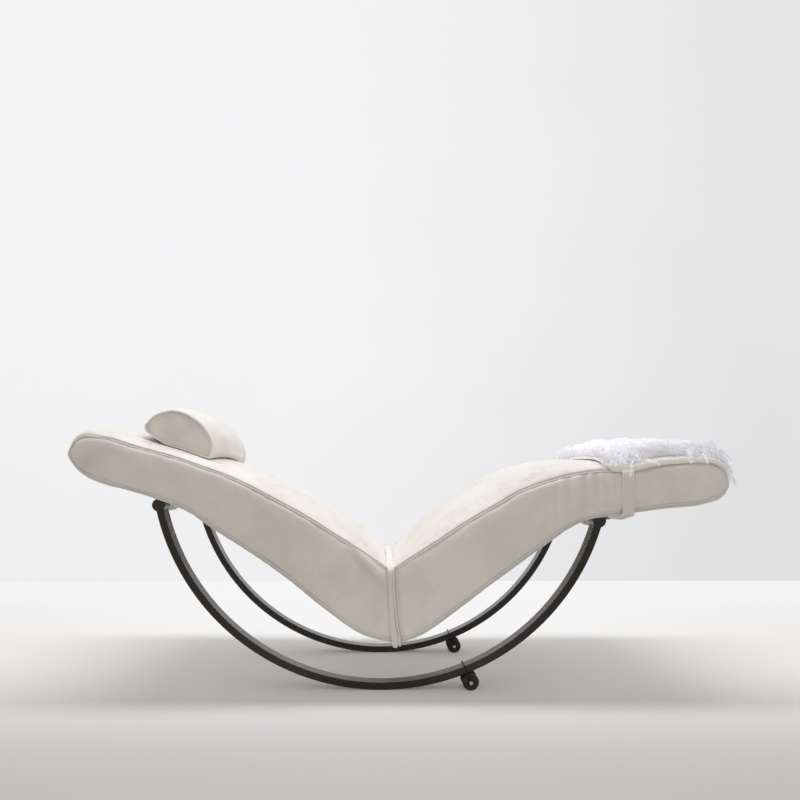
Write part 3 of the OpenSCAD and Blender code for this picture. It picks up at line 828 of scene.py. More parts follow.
LEGS = Half(
    name="legrest",
    side=1,
    depth=0.180,
    crown=0.046,
    lean=-7,
    gap_tip=0.0088,
    gap_valley=0.0088,
    tube="foot_cross_tube",
    along=150,
    fullness=((2.5, 0.0), (2.0, 0.5)),
    widens=(0.3, 0.35),
    nap=(0.03, -0.01),
    crown_change=(-0.18, 0.45, 0.25),
    knee=(0.011, 0.49, 0.14),
    pucker_share=0.5,
    bow=(
        (0.0, 0.0006),
        (0.07, 0.001),
        (0.23, -0.002),
        (0.566, -0.0039),
        (0.8, -0.002),
        (1.0, 0.0),
    ),
    ribs=(
        ((0.24, 0.9444), (0.12, -0.0868)),
        ((0.36, 0.951), (0.2811, -0.0473)),
        ((0.49, 0.967), (0.4321, 0.0045)),
        ((0.62, 0.957), (0.5751, 0.0483)),
        ((0.74, 0.943), (0.7061, 0.0877)),
        ((0.8588, 0.859), (0.8272, 0.1159)),
        ((0.9681, 0.736), (0.9155, 0.079)),
        ((1.0677, 0.5742), (0.995, -0.034)),
        ((1.1661, 0.3558), (1.0959, -0.193)),
        ((1.2797, 0.1988), (1.2075, -0.37)),
        ((1.3771, 0.0214), (1.314, -0.5595)),
        ((1.4414, -0.1212), (1.386, -0.642)),
        ((1.463, -0.2034), (1.414, -0.6390)),
        ((1.4740, -0.2952), (1.4360, -0.609)),
        ((1.4752, -0.3877), (1.4530, -0.556)),
    ),
)


@dataclass
class Cushion:
    """One upholstered half: its padded body and the piping round its side panels."""

    shape: Half
    across: int = 60
    deep: int = 26
    side_swell: float = 0.005
    end_swell: float = 0.011
    cap_swell: float = 0.004
    edge_roll: float = 0.0078
    under_roll: float = 0.009
    roll_reach: float = 0.006
    seam_cut: float = 0.0052
    seam_lift: float = 0.0022
    seam_spread: float = 0.0023
    side_gap: float = -0.0002
    shoulder: float = 0.56
    cap_shoulder: float = 0.0044
    piping_r: float = 0.0017
    dent_run: tuple[float, float] = (-0.620, -0.462)
    dent_half: float = 0.246
    hollow_depth: float = 0.009
    hollow_reach: float = 0.038
    hollow_half: float = 0.268
    crease_from: tuple[float, float] = (-0.060, 0.372)
    crease_to: tuple[float, float] = (0.012, 0.300)
    crease_height: float = 0.0042
    drape_at: float = 0.515
    drape_reach: float = 0.085
    drape_step: float = 0.031
    drape_height: float = 0.0026
    pucker_depth: float = 0.0014
    pressure: float = 4.0
    top: Array = field(init=False)
    low: Array = field(init=False)

    def __post_init__(self) -> None:
        """Works out the seams. The bottom seam lies above the bottom edge."""
        self.top, low = self.shape.seams()
        share = self.shape.shares()
        raised = self.under_roll * (1 - 0.65 * np.clip((share - 0.93) / 0.07, 0, 1) ** 2)
        self.low = low + unit_rows(self.top - low) * raised[:, None]

    def crown_at(self, station: Array) -> Array:
        """Returns the crown at stations, low in the valley and at the rounded end."""
        share = self.share_at(station)
        amount, begins, over = self.shape.crown_change
        start = 0.15 + 0.85 * np.minimum(1, share / 0.17)
        least, reach = self.shape.nose
        nose = least + (1 - least) * np.clip((1 - share) / reach, 0, 1) ** 0.8
        extra, at, spread = self.shape.knee
        change = 1 + amount * ease(share, begins, over)
        return self.shape.crown * start * change * nose + extra * hump(share - at, spread)

    def full(self, y: Array, station: Array) -> Array:
        """Returns the share of the crown that is reached across the width."""
        first, last = np.array(self.shape.fullness)
        change = ease(self.share_at(station), *self.shape.widens)[:, None]
        power, shoulder = (first + (last - first) * change).T
        place = np.abs(np.clip(y / self.shape.half_width, -1, 1))
        return 1 - (1 - shoulder) * place**power - shoulder * place**12

    def rolled(self, inset: Array) -> Array:
        """Returns how much of the edges' roll is reached, at distances from the side."""
        return 1 - 0.45 * np.exp(-inset / self.roll_reach)

    def padding(self, station: Array) -> Array:
        """Returns how high the top edge rolls, higher where the end turns down."""
        return self.edge_roll * (1 + self.shape.puff * hump(self.share_at(station) - 0.955, 0.035))

    def near_seam(self, points: Array) -> Array:
        """Returns how near the points are to a side panel's seam, from 0 to 1."""
        line = self.seam_path(0.0)[:, [0, 2]]
        away = np.linalg.norm(points[:, None, [0, 2]] - line[None], axis=2).min(axis=1)
        return hump(away, self.seam_spread)

    def bulge(self, level: Array) -> Array:
        """Returns how far the side panels stand out, at levels from 0 to 1."""
        return self.side_swell * (1 - np.abs(2 * level - 1) ** 3)

    def puckers(self, points: Array) -> Array:
        """Finds short dents of the lying surface, from 0 to 1, in patches."""
        dents = np.clip((uneven(points * (1.0, 0.5, 1.0), 58.0, 2.6) - 0.12) / 0.16, 0, 1)
        patches = np.clip(0.35 + 2.2 * uneven(points, 10.0, 4.9), 0, 1)
        return dents * patches * self.shape.pucker_share

    def dent(self, x: Array, y: Array) -> Array:
        """Returns how deep the headrest presses the lying surface in."""
        start, end = self.dent_run
        along = past(x - start, 0.011) * past(end - x, 0.012)
        return self.shape.pressed * along * past(self.dent_half - np.abs(y), 0.008)

    def hollow(self, x: Array, y: Array) -> Array:
        """Returns how far the underside is drawn in over the bars' eyes and the tube."""
        low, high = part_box(self.shape.tube)
        near = hump(x - (low.x + high.x) / 2, self.hollow_reach, 4)
        return self.hollow_depth * near * past(self.hollow_half - np.abs(y), 0.004)

    def share_at(self, station: Array) -> Array:
        """Returns how far along the half stations are, from 0 to 1."""
        return np.interp(station, np.arange(self.shape.along + 1), self.shape.shares())

    def outwards(self) -> Array:
        """Returns the direction in which the rounded end points."""
        near = int(np.searchsorted(self.shape.shares(), 0.76))
        return unit_rows((self.top[-1] - self.top[near])[None])[0]

    def rims(self) -> tuple[Array, Array]:
        """Returns the directions in which the edges roll out, for the top and the bottom seam."""
        up = unit_rows(self.top - self.low)
        turn = np.clip((self.shape.shares() - 0.84) / 0.08, 0, 1)[:, None]
        found = []
        for line, sign in ((self.top, 1), (self.low, -1)):
            ahead = unit_rows(np.gradient(line, axis=0))
            off = np.column_stack([-ahead[:, 1], ahead[:, 0]]) * self.shape.side
            found.append(sign * unit_rows(up * (1 - turn) + off * turn))
        return found[0], found[1]

    def surface(self, u: Array, w: Array, station: Array) -> Array:
        """Finds points of the body's surface.

        Args:
            u: place across, from -1 at the near side to 1 at the far side.
            w: place in depth, from -1 at the bottom seam to 1 at the top seam.
            station: place along, from 0 in the V to the last at the rounded end.

        Returns:
            The points, one row each.
        """
        k = station.astype(int)
        y = self.shape.half_width * crowded(u)
        full = self.full(y, station)
        roll = self.rolled(self.shape.half_width - np.abs(y))
        high = self.lying(y, station, 0)[:, [0, 2]]
        low, up = self.low[k], unit_rows(self.top - self.low)[k]
        drop = 0.003 * full - self.hollow(low[:, 0], y)
        deep = low - up * drop[:, None] + self.rims()[1][k] * (self.under_roll * roll)[:, None]
        deep = deep + self.pushed(full, station)
        plane = deep + (high - deep) * (1 + crowded(w))[:, None] / 2
        level = levels_of(w)
        side = at_edge(u)
        at_end = np.clip((self.share_at(station) - 0.92) / 0.08, 0, 1) ** 2
        y = y + np.where(side, np.sign(u) * self.bulge(level) * (1 - at_end), 0)
        cap = (station == self.shape.along) & ~side
        plane = plane + self.outwards() * (cap * self.cap_swell * (1 - w**2) * roll)[:, None]
        return np.column_stack([plane[:, 0] + self.bowed(level, station), y, plane[:, 1]])

    def bowed(self, level: object, station: Array) -> Array:
        """Returns how far the edge by the V bows along the chair, at a level."""
        fade = np.exp(-self.share_at(station) / 0.06)
        return np.interp(level, *np.array(self.shape.bow).T) * fade

    def pushed(self, full: Array, station: Array) -> Array:
        """Returns how far the rounded end is pushed out, fullest in its middle."""
        end = np.maximum(0, (self.share_at(station) - 0.86) / 0.14) ** 2
        return self.outwards() * (self.end_swell * end * full)[:, None]

    def creases(self, u: Array, w: Array, points: Array) -> Array:
        """Finds how far the cloth stands up or in at each point, for puckers and folds."""
        inset = self.shape.half_width * (1 - np.abs(crowded(u)))
        across_seam = np.exp(-inset / 0.05)
        stretched = points * (1.0, 0.25, 1.0)
        ripple = uneven(stretched, 24.0, 3.1) * across_seam * 0.0022
        broad = uneven(points, 5.5, 8.4) * 0.0035
        panel = uneven(points, 9.0, 5.2) * 0.0026 + uneven(points, 31.0, 1.2) * 0.0007
        panel = panel + self.folds(points, np.clip((1 + w) / 2, 0, 1))
        ripple = ripple - self.pucker_depth * self.puckers(points)
        ripple = ripple * np.clip(inset / 0.006 - 0.5, 0, 1) + broad * (1 - across_seam)
        return np.where(w > EDGE, ripple, np.where(at_edge(u) & ~at_edge(w), panel, 0))

    def folds(self, points: Array, level: Array) -> Array:
        """Finds the folds of the side panels: a crease by the V, and drapes by the strap."""
        x, _, z = points.T
        if self.shape.side < 0:
            start, end = np.array(self.crease_from), np.array(self.crease_to)
            length = float(np.hypot(*(end - start)))
            run = (end - start) / length
            ahead = (x - start[0]) * run[0] + (z - start[1]) * run[1]
            off = (z - start[1]) * run[0] - (x - start[0]) * run[1]
            fade = past(ahead + 0.01, 0.01) * past(length - ahead, 0.008)
            ridge = hump(off - 0.010, 0.010) - hump(off + 0.006, 0.009)
            return fade * self.crease_height * ridge
        window = hump(x - self.drape_at, self.drape_reach, 4)
        phase = 2 * math.pi * x / self.drape_step + 1.75 * np.sin(x * 37 + z * 6)
        fade = np.clip(1.25 * level, 0, 1) * (1 - level**6)
        return window * np.sin(phase) * self.drape_height * fade

    def body(self) -> Piece:
        """Models the padded body."""
        piece = block(f"{self.shape.name}_upholstery", self.across, self.deep, self.shape.along)
        u, w, station = (a for a in coords(piece).T)
        station = np.round(station)
        points = self.surface(u, w, station)
        self.groove(u, w, station, points)
        move_to(piece, points)
        face_outwards(piece)
        normals = np.array([v.normal for v in piece.data.vertices])
        move = self.creases(u, w, points)
        move[station == 0] = 0
        move_to(piece, points + normals * move[:, None])
        tint(piece, self.tones(u, w, station, points))
        inset = self.shape.half_width * (1 - np.abs(crowded(u)))
        lying = (w > EDGE) & (station > 0)
        free = np.clip(inset / 0.012 - 0.3, 0, 1) * (0.45 + 0.55 * np.exp(-inset / 0.09))
        tint(piece, lying * free, "creasing")
        depth = 1 - np.clip(np.abs(w), 0, 1) ** 2
        cap = np.where(at_edge(u), 0.0036 * depth, 0.007 * np.clip(inset / 0.03, 0.1, 1)) + 1e-6
        inflate(piece, self.held(u, w, station, points), self.pressure, cap, 0.012)
        refine(piece, 1)
        return piece

    def held(self, u: Array, w: Array, station: Array, points: Array) -> Array:
        """Finds the points that the seams, the joint and the pieces on top hold still."""
        x, y, _ = points.T
        seam = at_edge(u) & at_edge(w)
        beside = (np.abs(np.abs(u) - 1 + 2 / self.across) < 0.001) & at_edge(w)
        ends = (station < 4) | (station == self.shape.along)
        loaded = (x > 0.545) | ((x > -0.67) & (x < -0.42) & (np.abs(y) < 0.3) & (w > EDGE))
        under = (w < -EDGE) & ((np.abs(x - 0.5969) < 0.08) | (np.abs(x + 0.6073) < 0.08))
        return seam | beside | ends | loaded | under

    def tones(self, u: Array, w: Array, station: Array, points: Array) -> Array:
        """Finds how much paler or darker each point is: random nap strokes, and painted shade and
        light in folds, seams, the ends, the underside and beside the headrest.
        """
        side = at_edge(u)
        end = hump(1 - self.share_at(station), 0.11)
        stroke = uneven(points * (1.0, 0.3, 1.0), 15.0, 7.1) + 0.5 * uneven(points, 37.0, 3.3)
        # Painted light and shade on the side panels: darker in the folds' hollows, lighter on
        # their ridges; the shape's nap pair shifts the whole panel and its rounded end.
        fold = self.folds(points, np.clip((1 + w) / 2, 0, 1))
        general, at_end = self.shape.nap
        panel = 24 * fold + stroke * (0.03 + 0.08 * end) + general + at_end * end
        x, y, _ = points.T
        # Painted shadow of the headrest on the lying surface beside its ends.
        headrest_shadow = hump(x + 0.575, 0.075, 4) * hump(np.abs(y) - 0.255, 0.04)
        # Painted shade on the top: darker over the rounded end, in the puckers, and a little all
        # over the legs.
        top = 0.03 * stroke - 0.07 * end - 0.24 * headrest_shadow * (np.abs(y) > 0.2)
        top = top - 0.045 * self.puckers(points) - 0.03 * (self.shape.side > 0)
        tone = np.where(side, panel, top)
        # Painted light and shade on the underside: lighter at the rounded end, darker elsewhere.
        tone = np.where(w < -EDGE, 0.10 * end - 0.10 * (1 - end), tone)
        # Painted shade in the groove of each side panel's seam.
        tone[side] -= 0.34 * self.near_seam(points[side])
        # Painted shade on the side panels beside the V.
        return np.where(side & (station < 2), tone - 0.12, tone)

    def groove(self, u: Array, w: Array, station: Array, points: Array) -> None:
        """Sinks the seams between the rolled edges and the side panels."""
        column = np.round((u + 1) / 2 * self.across)
        edge = (column == 0) | (column == self.across)
        beside = (column == 1) | (column == self.across - 1)
        k = station.astype(int)
        rims = self.rims()
        side = edge & ~at_edge(w)
        points[side, 1] -= np.sign(u[side]) * self.seam_cut * self.near_seam(points[side])
        for line, rim, sign in ((self.top, rims[0], 1), (self.low, rims[1], -1)):
            row = w * sign > EDGE
            roll = self.shoulder * (self.padding(station) if sign > 0 else self.under_roll + 0 * u)
            for where, inset, lift in (
                (edge & row, self.seam_cut, self.seam_lift + 0 * u),
                (beside & row, self.side_gap, roll),
            ):
                plane = line[k[where]] + rim[k[where]] * lift[where, None]
                plane[:, 0] += self.bowed(max(sign, 0), station[where])
                points[np.ix_(where, (0, 2))] = plane
                points[where, 1] = np.sign(u[where]) * (self.shape.half_width - inset)
        middle = (station == self.shape.along) & ~at_edge(w)
        for where, inset, lift in (
            (middle & edge, self.seam_cut, self.seam_lift),
            (middle & beside, self.side_gap, self.cap_shoulder),
        ):
            level = levels_of(w[where])[:, None]
            high, deep = self.top[-1] + rims[0][-1] * lift, self.low[-1] + rims[1][-1] * lift
            plane = deep + (high - deep) * level + self.outwards() * 0.006 * level * (1 - level)
            points[np.ix_(where, (0, 2))] = plane
            points[where, 1] = np.sign(u[where]) * (self.shape.half_width - inset)

    def lying(self, y: Array, station: Array, lift: object) -> Array:
        """Finds points above the lying surface.

        Args:
            y: place across the chair.
            station: place along, and it needn't be whole.
            lift: height above the surface.

        Returns:
            The points, one row each.
        """
        top, low = between_rows(self.top, station), between_rows(self.low, station)
        rim = between_rows(self.rims()[0], station)
        up = unit_rows(top - low)
        full = self.full(y, station)
        roll = self.rolled(np.maximum(0, self.shape.half_width - np.abs(y)))
        rise = (self.crown_at(station) - self.edge_roll) * full
        rise = rise - self.dent(top[:, 0] + up[:, 0] * (rise + self.edge_roll * roll), y)
        plane = top + up * rise[:, None] + rim * (self.padding(station) * roll + lift)[:, None]
        plane = plane + self.pushed(full, station)
        return np.column_stack([plane[:, 0], y, plane[:, 1]])

    def station_at(self, x: float) -> float:
        """Returns the station whose top seam is at a place along the chair."""
        order = np.argsort(self.top[:, 0])
        return float(np.interp(x, self.top[order, 0], order))

    def seam_path(self, y: float) -> Array:
        """Returns the line of the piping round one side panel."""
        cap_top, cap_low = self.top[-1], self.low[-1]
        out = self.outwards()
        levels = np.linspace(0, 1, 13)[1:-1]
        column = [
            cap_top + (cap_low - cap_top) * t + out * 0.0006 * (1 - (2 * t - 1) ** 2)
            for t in levels
        ]
        top_rim, low_rim = self.rims()
        high, deep = self.top - top_rim * 0.001, self.low - low_rim * 0.001
        line = np.array([*high, *column, *deep[::-1]])
        return np.column_stack([line[:, 0], np.full(len(line), y), line[:, 1]])

    def piping(self) -> Piece:
        """Models the two lengths of piping."""
        y = self.shape.half_width - 0.0018
        paths = [self.seam_path(side * y)[1:-1] for side in (-1, 1)]
        name = f"{self.shape.name}_cord"
        cords = [cord_along(name, path, self.piping_r, False) for path in paths]
        return joined(f"{self.shape.name}_seam_piping", cords)

    def build(self) -> None:
        """Builds the half, finishes its pieces and ties them to the frame."""
        name = self.shape.name
        body = self.body()
        hand_in(body, "frame", Finishes.BODY, [f"{name}_cushion"])
        hand_in(self.piping(), "frame", Finishes.SEAMS, [f"{name}_piping"])


@dataclass
class Headrest:
    """The loose bolster on the back, with a ring of piping round each end.

    Each rib is an upper point, above the line of the back's seams, and a lower point,
    above the back's surface, both as shares of the height.
    """

    back: Cushion
    width: float = 0.462
    height: float = 0.088
    crown: float = 0.027
    swell: float = 0.006
    puff: float = 0.004
    shift: float = 0.045
    station: int = 13
    upper_lift: float = 0.0275
    lift: float = 0.0012
    ring_lift: float = 0.0042
    rim_lift: float = 0.0024
    seam_cut: float = 0.0046
    piping_r: float = 0.003
    pressure: float = 3.0
    across: int = 56
    deep: int = 12
    along: int = 56
    ribs: tuple = (
        ((-1.330, 0.31), (-1.318, 0.27)),
        ((-1.290, 0.445), (-1.240, 0.185)),
        ((-1.170, 0.66), (-1.09, 0.14)),
        ((-1.0075, 0.8125), (-0.95, 0.105)),
        ((-0.7635, 0.97), (-0.7, 0.04)),
        ((-0.5837, 1.0225), (-0.54, 0.01)),
        ((-0.3436, 1.0435), (-0.31, 0.0)),
        ((-0.0839, 1.0045), (-0.06, 0.0)),
        ((0.2442, 0.91), (0.25, 0.0)),
        ((0.4911, 0.7615), (0.49, 0.0)),
        ((0.6986, 0.584), (0.69, 0.0)),
        ((0.8111, 0.424), (0.8, 0.0)),
        ((0.862, 0.24), (0.85, 0.005)),
        ((0.878, 0.10), (0.868, 0.035)),
    )

    def axes(self) -> tuple[Array, Array, Array]:
        """Returns the section's origin, and the directions along the back and out of it."""
        top, _ = self.back.shape.stations(2)
        run = unit_rows((top[self.station - 1] - top[self.station + 1])[None])[0]
        return top[self.station] - self.shift * run, run, np.array([-run[1], run[0]])

    def placed(self, local: Array, y: Array) -> Array:
        """Puts points of the section on the back.

        Args:
            local: place along the back and above it, one row each.
            y: place across the chair.

        Returns:
            The points, one row each.
        """
        at, run, up = self.axes()
        plane = at + local[:, :1] * run + local[:, 1:] * up
        return np.column_stack([plane[:, 0], y, plane[:, 1]])

    def surface_at(self, ahead: Array, y: Array) -> Array:
        """Returns how high the back's surface lies in the section's axes."""
        at, run, up = self.axes()
        rows = np.arange(self.back.shape.along + 1.0)
        height = np.empty(len(y))
        for place in np.unique(y):
            line = self.back.lying(np.full(len(rows), place), rows, 0 * rows)[:, [0, 2]] - at
            order = np.argsort(line @ run)
            here = y == place
            height[here] = np.interp(ahead[here], (line @ run)[order], (line @ up)[order])
        return height

    def rise(self, y: Array) -> Array:
        """Returns how high the upper line's zero lies across the chair."""
        crown = self.crown * (1 - np.abs(y / self.back.shape.half_width) ** 2.5)
        at_end = self.crown * (1 - (self.width / 2 / self.back.shape.half_width) ** 2.5)
        return self.upper_lift + crown - at_end

    def outline(self) -> tuple[Array, Array]:
        """Returns the upper and the lower line of the section, in even steps."""
        lines = [smooth_curve([r[k] for r in self.ribs], 12) * self.height for k in (0, 1)]
        upper, lower = at_even_steps(lines, np.arange(self.along + 1) / self.along)
        return upper, lower

    def raised(
        self, upper: Array, lower: Array, y: Array, extra: object
    ) -> tuple[Array, Array]:
        """Lifts both lines of the section to where they lie across the chair.

        Args:
            upper: points of the upper line, one row each.
            lower: points of the lower line, one row each.
            y: place of each point across the chair.
            extra: height of the lower line above its usual lift.

        Returns:
            The lifted points of the upper and of the lower line.
        """
        floor = self.surface_at(lower[:, 0], y) + self.lift + extra
        high = upper + np.column_stack([0 * y, self.rise(y)])
        return high, lower + np.column_stack([0 * y, floor])

    def cushion(self) -> Piece:
        """Models the bolster, fuller in its middle than at its ends."""
        piece = block("headrest_bolster", self.across, self.deep, self.along)
        u, w, station = (a for a in coords(piece).T)
        station = np.round(station)
        upper, lower = (line[station.astype(int)] for line in self.outline())
        spread = crowded(u)
        y = spread * self.width / 2
        full = 1 - np.abs(spread) ** 2.5
        roll = 1 - np.exp(-(self.width / 2 - np.abs(y)) / 0.012)
        share = levels_of(w)
        turn = math.pi * station / self.along
        out = (self.swell * full + self.puff * roll) * share
        near_rim = np.exp(-(self.width / 2 - np.abs(y)) / 0.005)
        high, low = self.raised(upper, lower, y, self.rim_lift * near_rim)
        local = low + (high - low) * share[:, None]
        local = local + np.column_stack([-out * np.cos(turn), out * np.sin(turn)])
        side = at_edge(u)
        rim = side & (at_edge(w) | (station == 0) | (station == self.along))
        bulge = 0.006 * np.sin(turn) ** 0.6 * (1 - np.abs(2 * share - 1) ** 2.2)
        y = y + np.sign(u) * (np.where(side, bulge, 0) - np.where(rim, self.seam_cut, 0))
        move_to(piece, self.placed(local, y))
        face_outwards(piece)
        base = (w < -EDGE) | (share * self.height < 0.004)
        inflate(piece, rim | base, self.pressure, 0.006, 0.012)
        points = coords(piece)
        normals = np.array([v.normal for v in piece.data.vertices])
        near_end = np.exp(-np.abs(self.width / 2 - np.abs(y)) / 0.04)
        gathers = uneven(points * (0.35, 1.0, 1.0), 30.0, 6.6) * 0.0016 * near_end
        dents = uneven(points, 9.0, 2.4) * 0.0022 + uneven(points, 26.0, 4.4) * 0.0012 * side
        low_down = np.exp(-share * self.height / 0.012)
        pucker = uneven(points * (1.0, 1.0, 0.2), 75.0, 1.9) * 0.0022 * low_down
        free = np.where(rim | base, 0, 1)
        move_to(piece, points + normals * ((gathers + dents + pucker) * free)[:, None])
        stroke = uneven(points, 24.0, 9.4) * 0.10 * side + uneven(points, 60.0, 2.9) * 0.02
        # Painted shade: a dark contact line along the bolster's base, and darker seam rings and
        # ends; stroke is random nap.
        foot = np.where(w < -EDGE, -0.65, 0) - (0.3 * rim + 0.05 * side) * (w > -EDGE)
        tint(piece, stroke + foot)
        refine(piece, 1)
        return piece

    def piping(self) -> Piece:
        """Models the two rings of piping, a little puckered."""
        upper, lower = self.outline()
        cords = []
        for side in (-1, 1):
            y = np.full(len(upper), side * (self.width / 2 + 0.0018))
            high, low = self.raised(upper, lower, y, self.ring_lift)
            path = self.placed(np.array([*high, *low[::-1]]), np.array([*y, *y]))
            path[:, 1] += uneven(path, 70.0, 4.0) * 0.0007
            path[:, 2] += uneven(path, 85.0, 1.0) * 0.0005
            cords.append(cord_along("headrest_cord", path, self.piping_r, True))
        return joined("headrest_rings", cords)

    def build(self) -> None:
        """Builds the headrest, finishes its pieces and ties them to the headrest's body."""
        body = self.cushion()
        hand_in(body, "headrest", Finishes.BOLSTER, ["headrest_cushion"])
        hand_in(self.piping(), "headrest", Finishes.SEAMS, ["headrest_piping"])


@dataclass
class CentreJoint:
    """The band over the joint in the V, the gusset behind it and the legs' own edge cord.

    Each row of the tables is a share of the way up the V, and then sizes in metres.
    """

    tip: tuple[float, float] = BACK.tip
    valley: tuple[float, float] = BACK.valley
    half_width: float = BACK.half_width
    proud: float = 0.005
    thick: float = 0.0042
    crown: float = 0.005
    along: int = 220
    band_table: tuple = (
        (-0.04, 0.0372, 0.0090),
        (-0.01, 0.0370, 0.0165),
        (0.07, 0.0358, 0.0200),
        (0.22, 0.0316, 0.0160),
        (0.5, 0.0272, 0.0135),
        (0.85, 0.0238, 0.0125),
        (1.0, 0.0236, 0.0150),
        (1.03, 0.0240, 0.0185),
    )
    section: tuple = (
        (-0.5, -0.4),
        (-0.49, 0.7),
        (-0.40, 1.3),
        (-0.29, 0.72),
        (0.0, 0.86),
        (0.29, 0.72),
        (0.40, 1.3),
        (0.49, 0.7),
        (0.5, -0.4),
        (0.0, -0.5),
    )
    edge_table: tuple = (
        (-0.05, 0.0505),
        (0.07, 0.0504),
        (0.23, 0.0446),
        (0.566, 0.0372),
        (0.8, 0.0352),
        (1.05, 0.0338),
    )

    def share_up(self, z: Array) -> Array:
        """Returns how far up the V heights are, from 0 to 1."""
        return (z - self.tip[1]) / (self.valley[1] - self.tip[1])

    def loop(self, grow: float, count: int, bend: float = 0.014, drop: float = 0.0) -> Array:
        """Runs a closed line round the joint.

        Args:
            grow: distance outside the seams.
            count: points of the line.
            bend: radius of its corners.
            drop: how much further down its lower run lies.

        Returns:
            Place across and height of each point, one row each.
        """
        half = self.half_width + grow
        low, high = self.tip[1] - grow - drop, self.valley[1] + grow
        turns = [(half - bend, high - bend, 0), (-half + bend, high - bend, 90)]
        turns += [(-half + bend, low + bend, 180), (half - bend, low + bend, 270)]
        corners = [
            (y + bend * math.cos(math.radians(a + t)), z + bend * math.sin(math.radians(a + t)))
            for y, z, a in turns
            for t in range(0, 91, 10)
        ]
        closed = np.array([*corners, corners[0]])
        run = np.concatenate([[0], np.cumsum(np.linalg.norm(np.diff(closed, axis=0), axis=1))])
        wanted = np.linspace(0, run[-1], count + 1)[:-1]
        line = np.column_stack([np.interp(wanted, run, closed[:, k]) for k in (0, 1)])
        full = 1 - np.abs(line[:, 0] / half) ** 2.5
        high_up = line[:, 1] > (low + high) / 2
        line[:, 1] += np.where(high_up, self.crown * full, -0.003 * full)
        return line

    def band(self) -> Piece:
        """Models the band, a flat strip with a stitched rib along each edge."""
        section = np.array(self.section)
        piece = ring("centre_strip", len(section), self.along)
        line = self.loop(self.proud - 0.002, self.along, 0.009, 0.005)
        ahead = unit_rows(np.roll(line, -1, axis=0) - np.roll(line, 1, axis=0))
        outward = np.column_stack([ahead[:, 1], -ahead[:, 0]])
        centre, width = at_share(self.band_table, self.share_up(line[:, 1])).T
        k = np.arange(self.along * len(section)) // len(section)
        j = np.arange(self.along * len(section)) % len(section)
        height = section[j, 1] * self.thick * (1 + 0.12 * np.sin(0.31 * k))
        plane = line[k] + outward[k] * height[:, None]
        x = centre[k] + section[j, 0] * width[k]
        points = np.column_stack([x, plane[:, 0], plane[:, 1]])
        points += np.column_stack([uneven(points, 26.0, 9.0) * 0.0009] * 3) * (1, 0, 0)
        move_to(piece, points)
        face_outwards(piece)
        refine(piece, 1)
        return piece

    def gusset(self) -> Piece:
        """Models the cloth that closes the joint behind the band."""
        piece = block("joint_gusset", 24, 10, 2)
        u, w, station = (a for a in coords(piece).T)
        share = (1 + w) / 2
        z = self.tip[1] + 0.001 + share * (self.valley[1] - self.tip[1] - 0.013)
        along_v = self.share_up(z)
        centre = self.tip[0] + (self.valley[0] - self.tip[0]) * along_v
        left = centre - 0.0036 - 0.003 * along_v
        right = at_share(self.edge_table, along_v)[:, 0] + 0.002
        x = left + (right - left) * np.round(station) / 2
        move_to(piece, np.column_stack([x, u * (self.half_width - 0.0045), z]))
        face_outwards(piece)
        refine(piece, 1)
        return piece

    def edge_cord(self) -> Piece:
        """Models the thin cord along the legs' edge of the joint."""
        line = self.loop(0.0048, 260, 0.008)
        x = at_share(self.edge_table, self.share_up(line[:, 1]))[:, 0] - 0.0018
        return cord_along("joint_edge_cord", np.column_stack([x, line]), 0.0028, True)

    def build(self) -> None:
        """Builds the joint, finishes its pieces and ties them to the frame."""
        band, gusset = self.band(), self.gusset()
        hand_in(band, "frame", Finishes.BAND, ["centre_band"])
        hand_in(gusset, "frame", Finishes.BAND)
        hand_in(self.edge_cord(), "frame", Finishes.SEAMS)


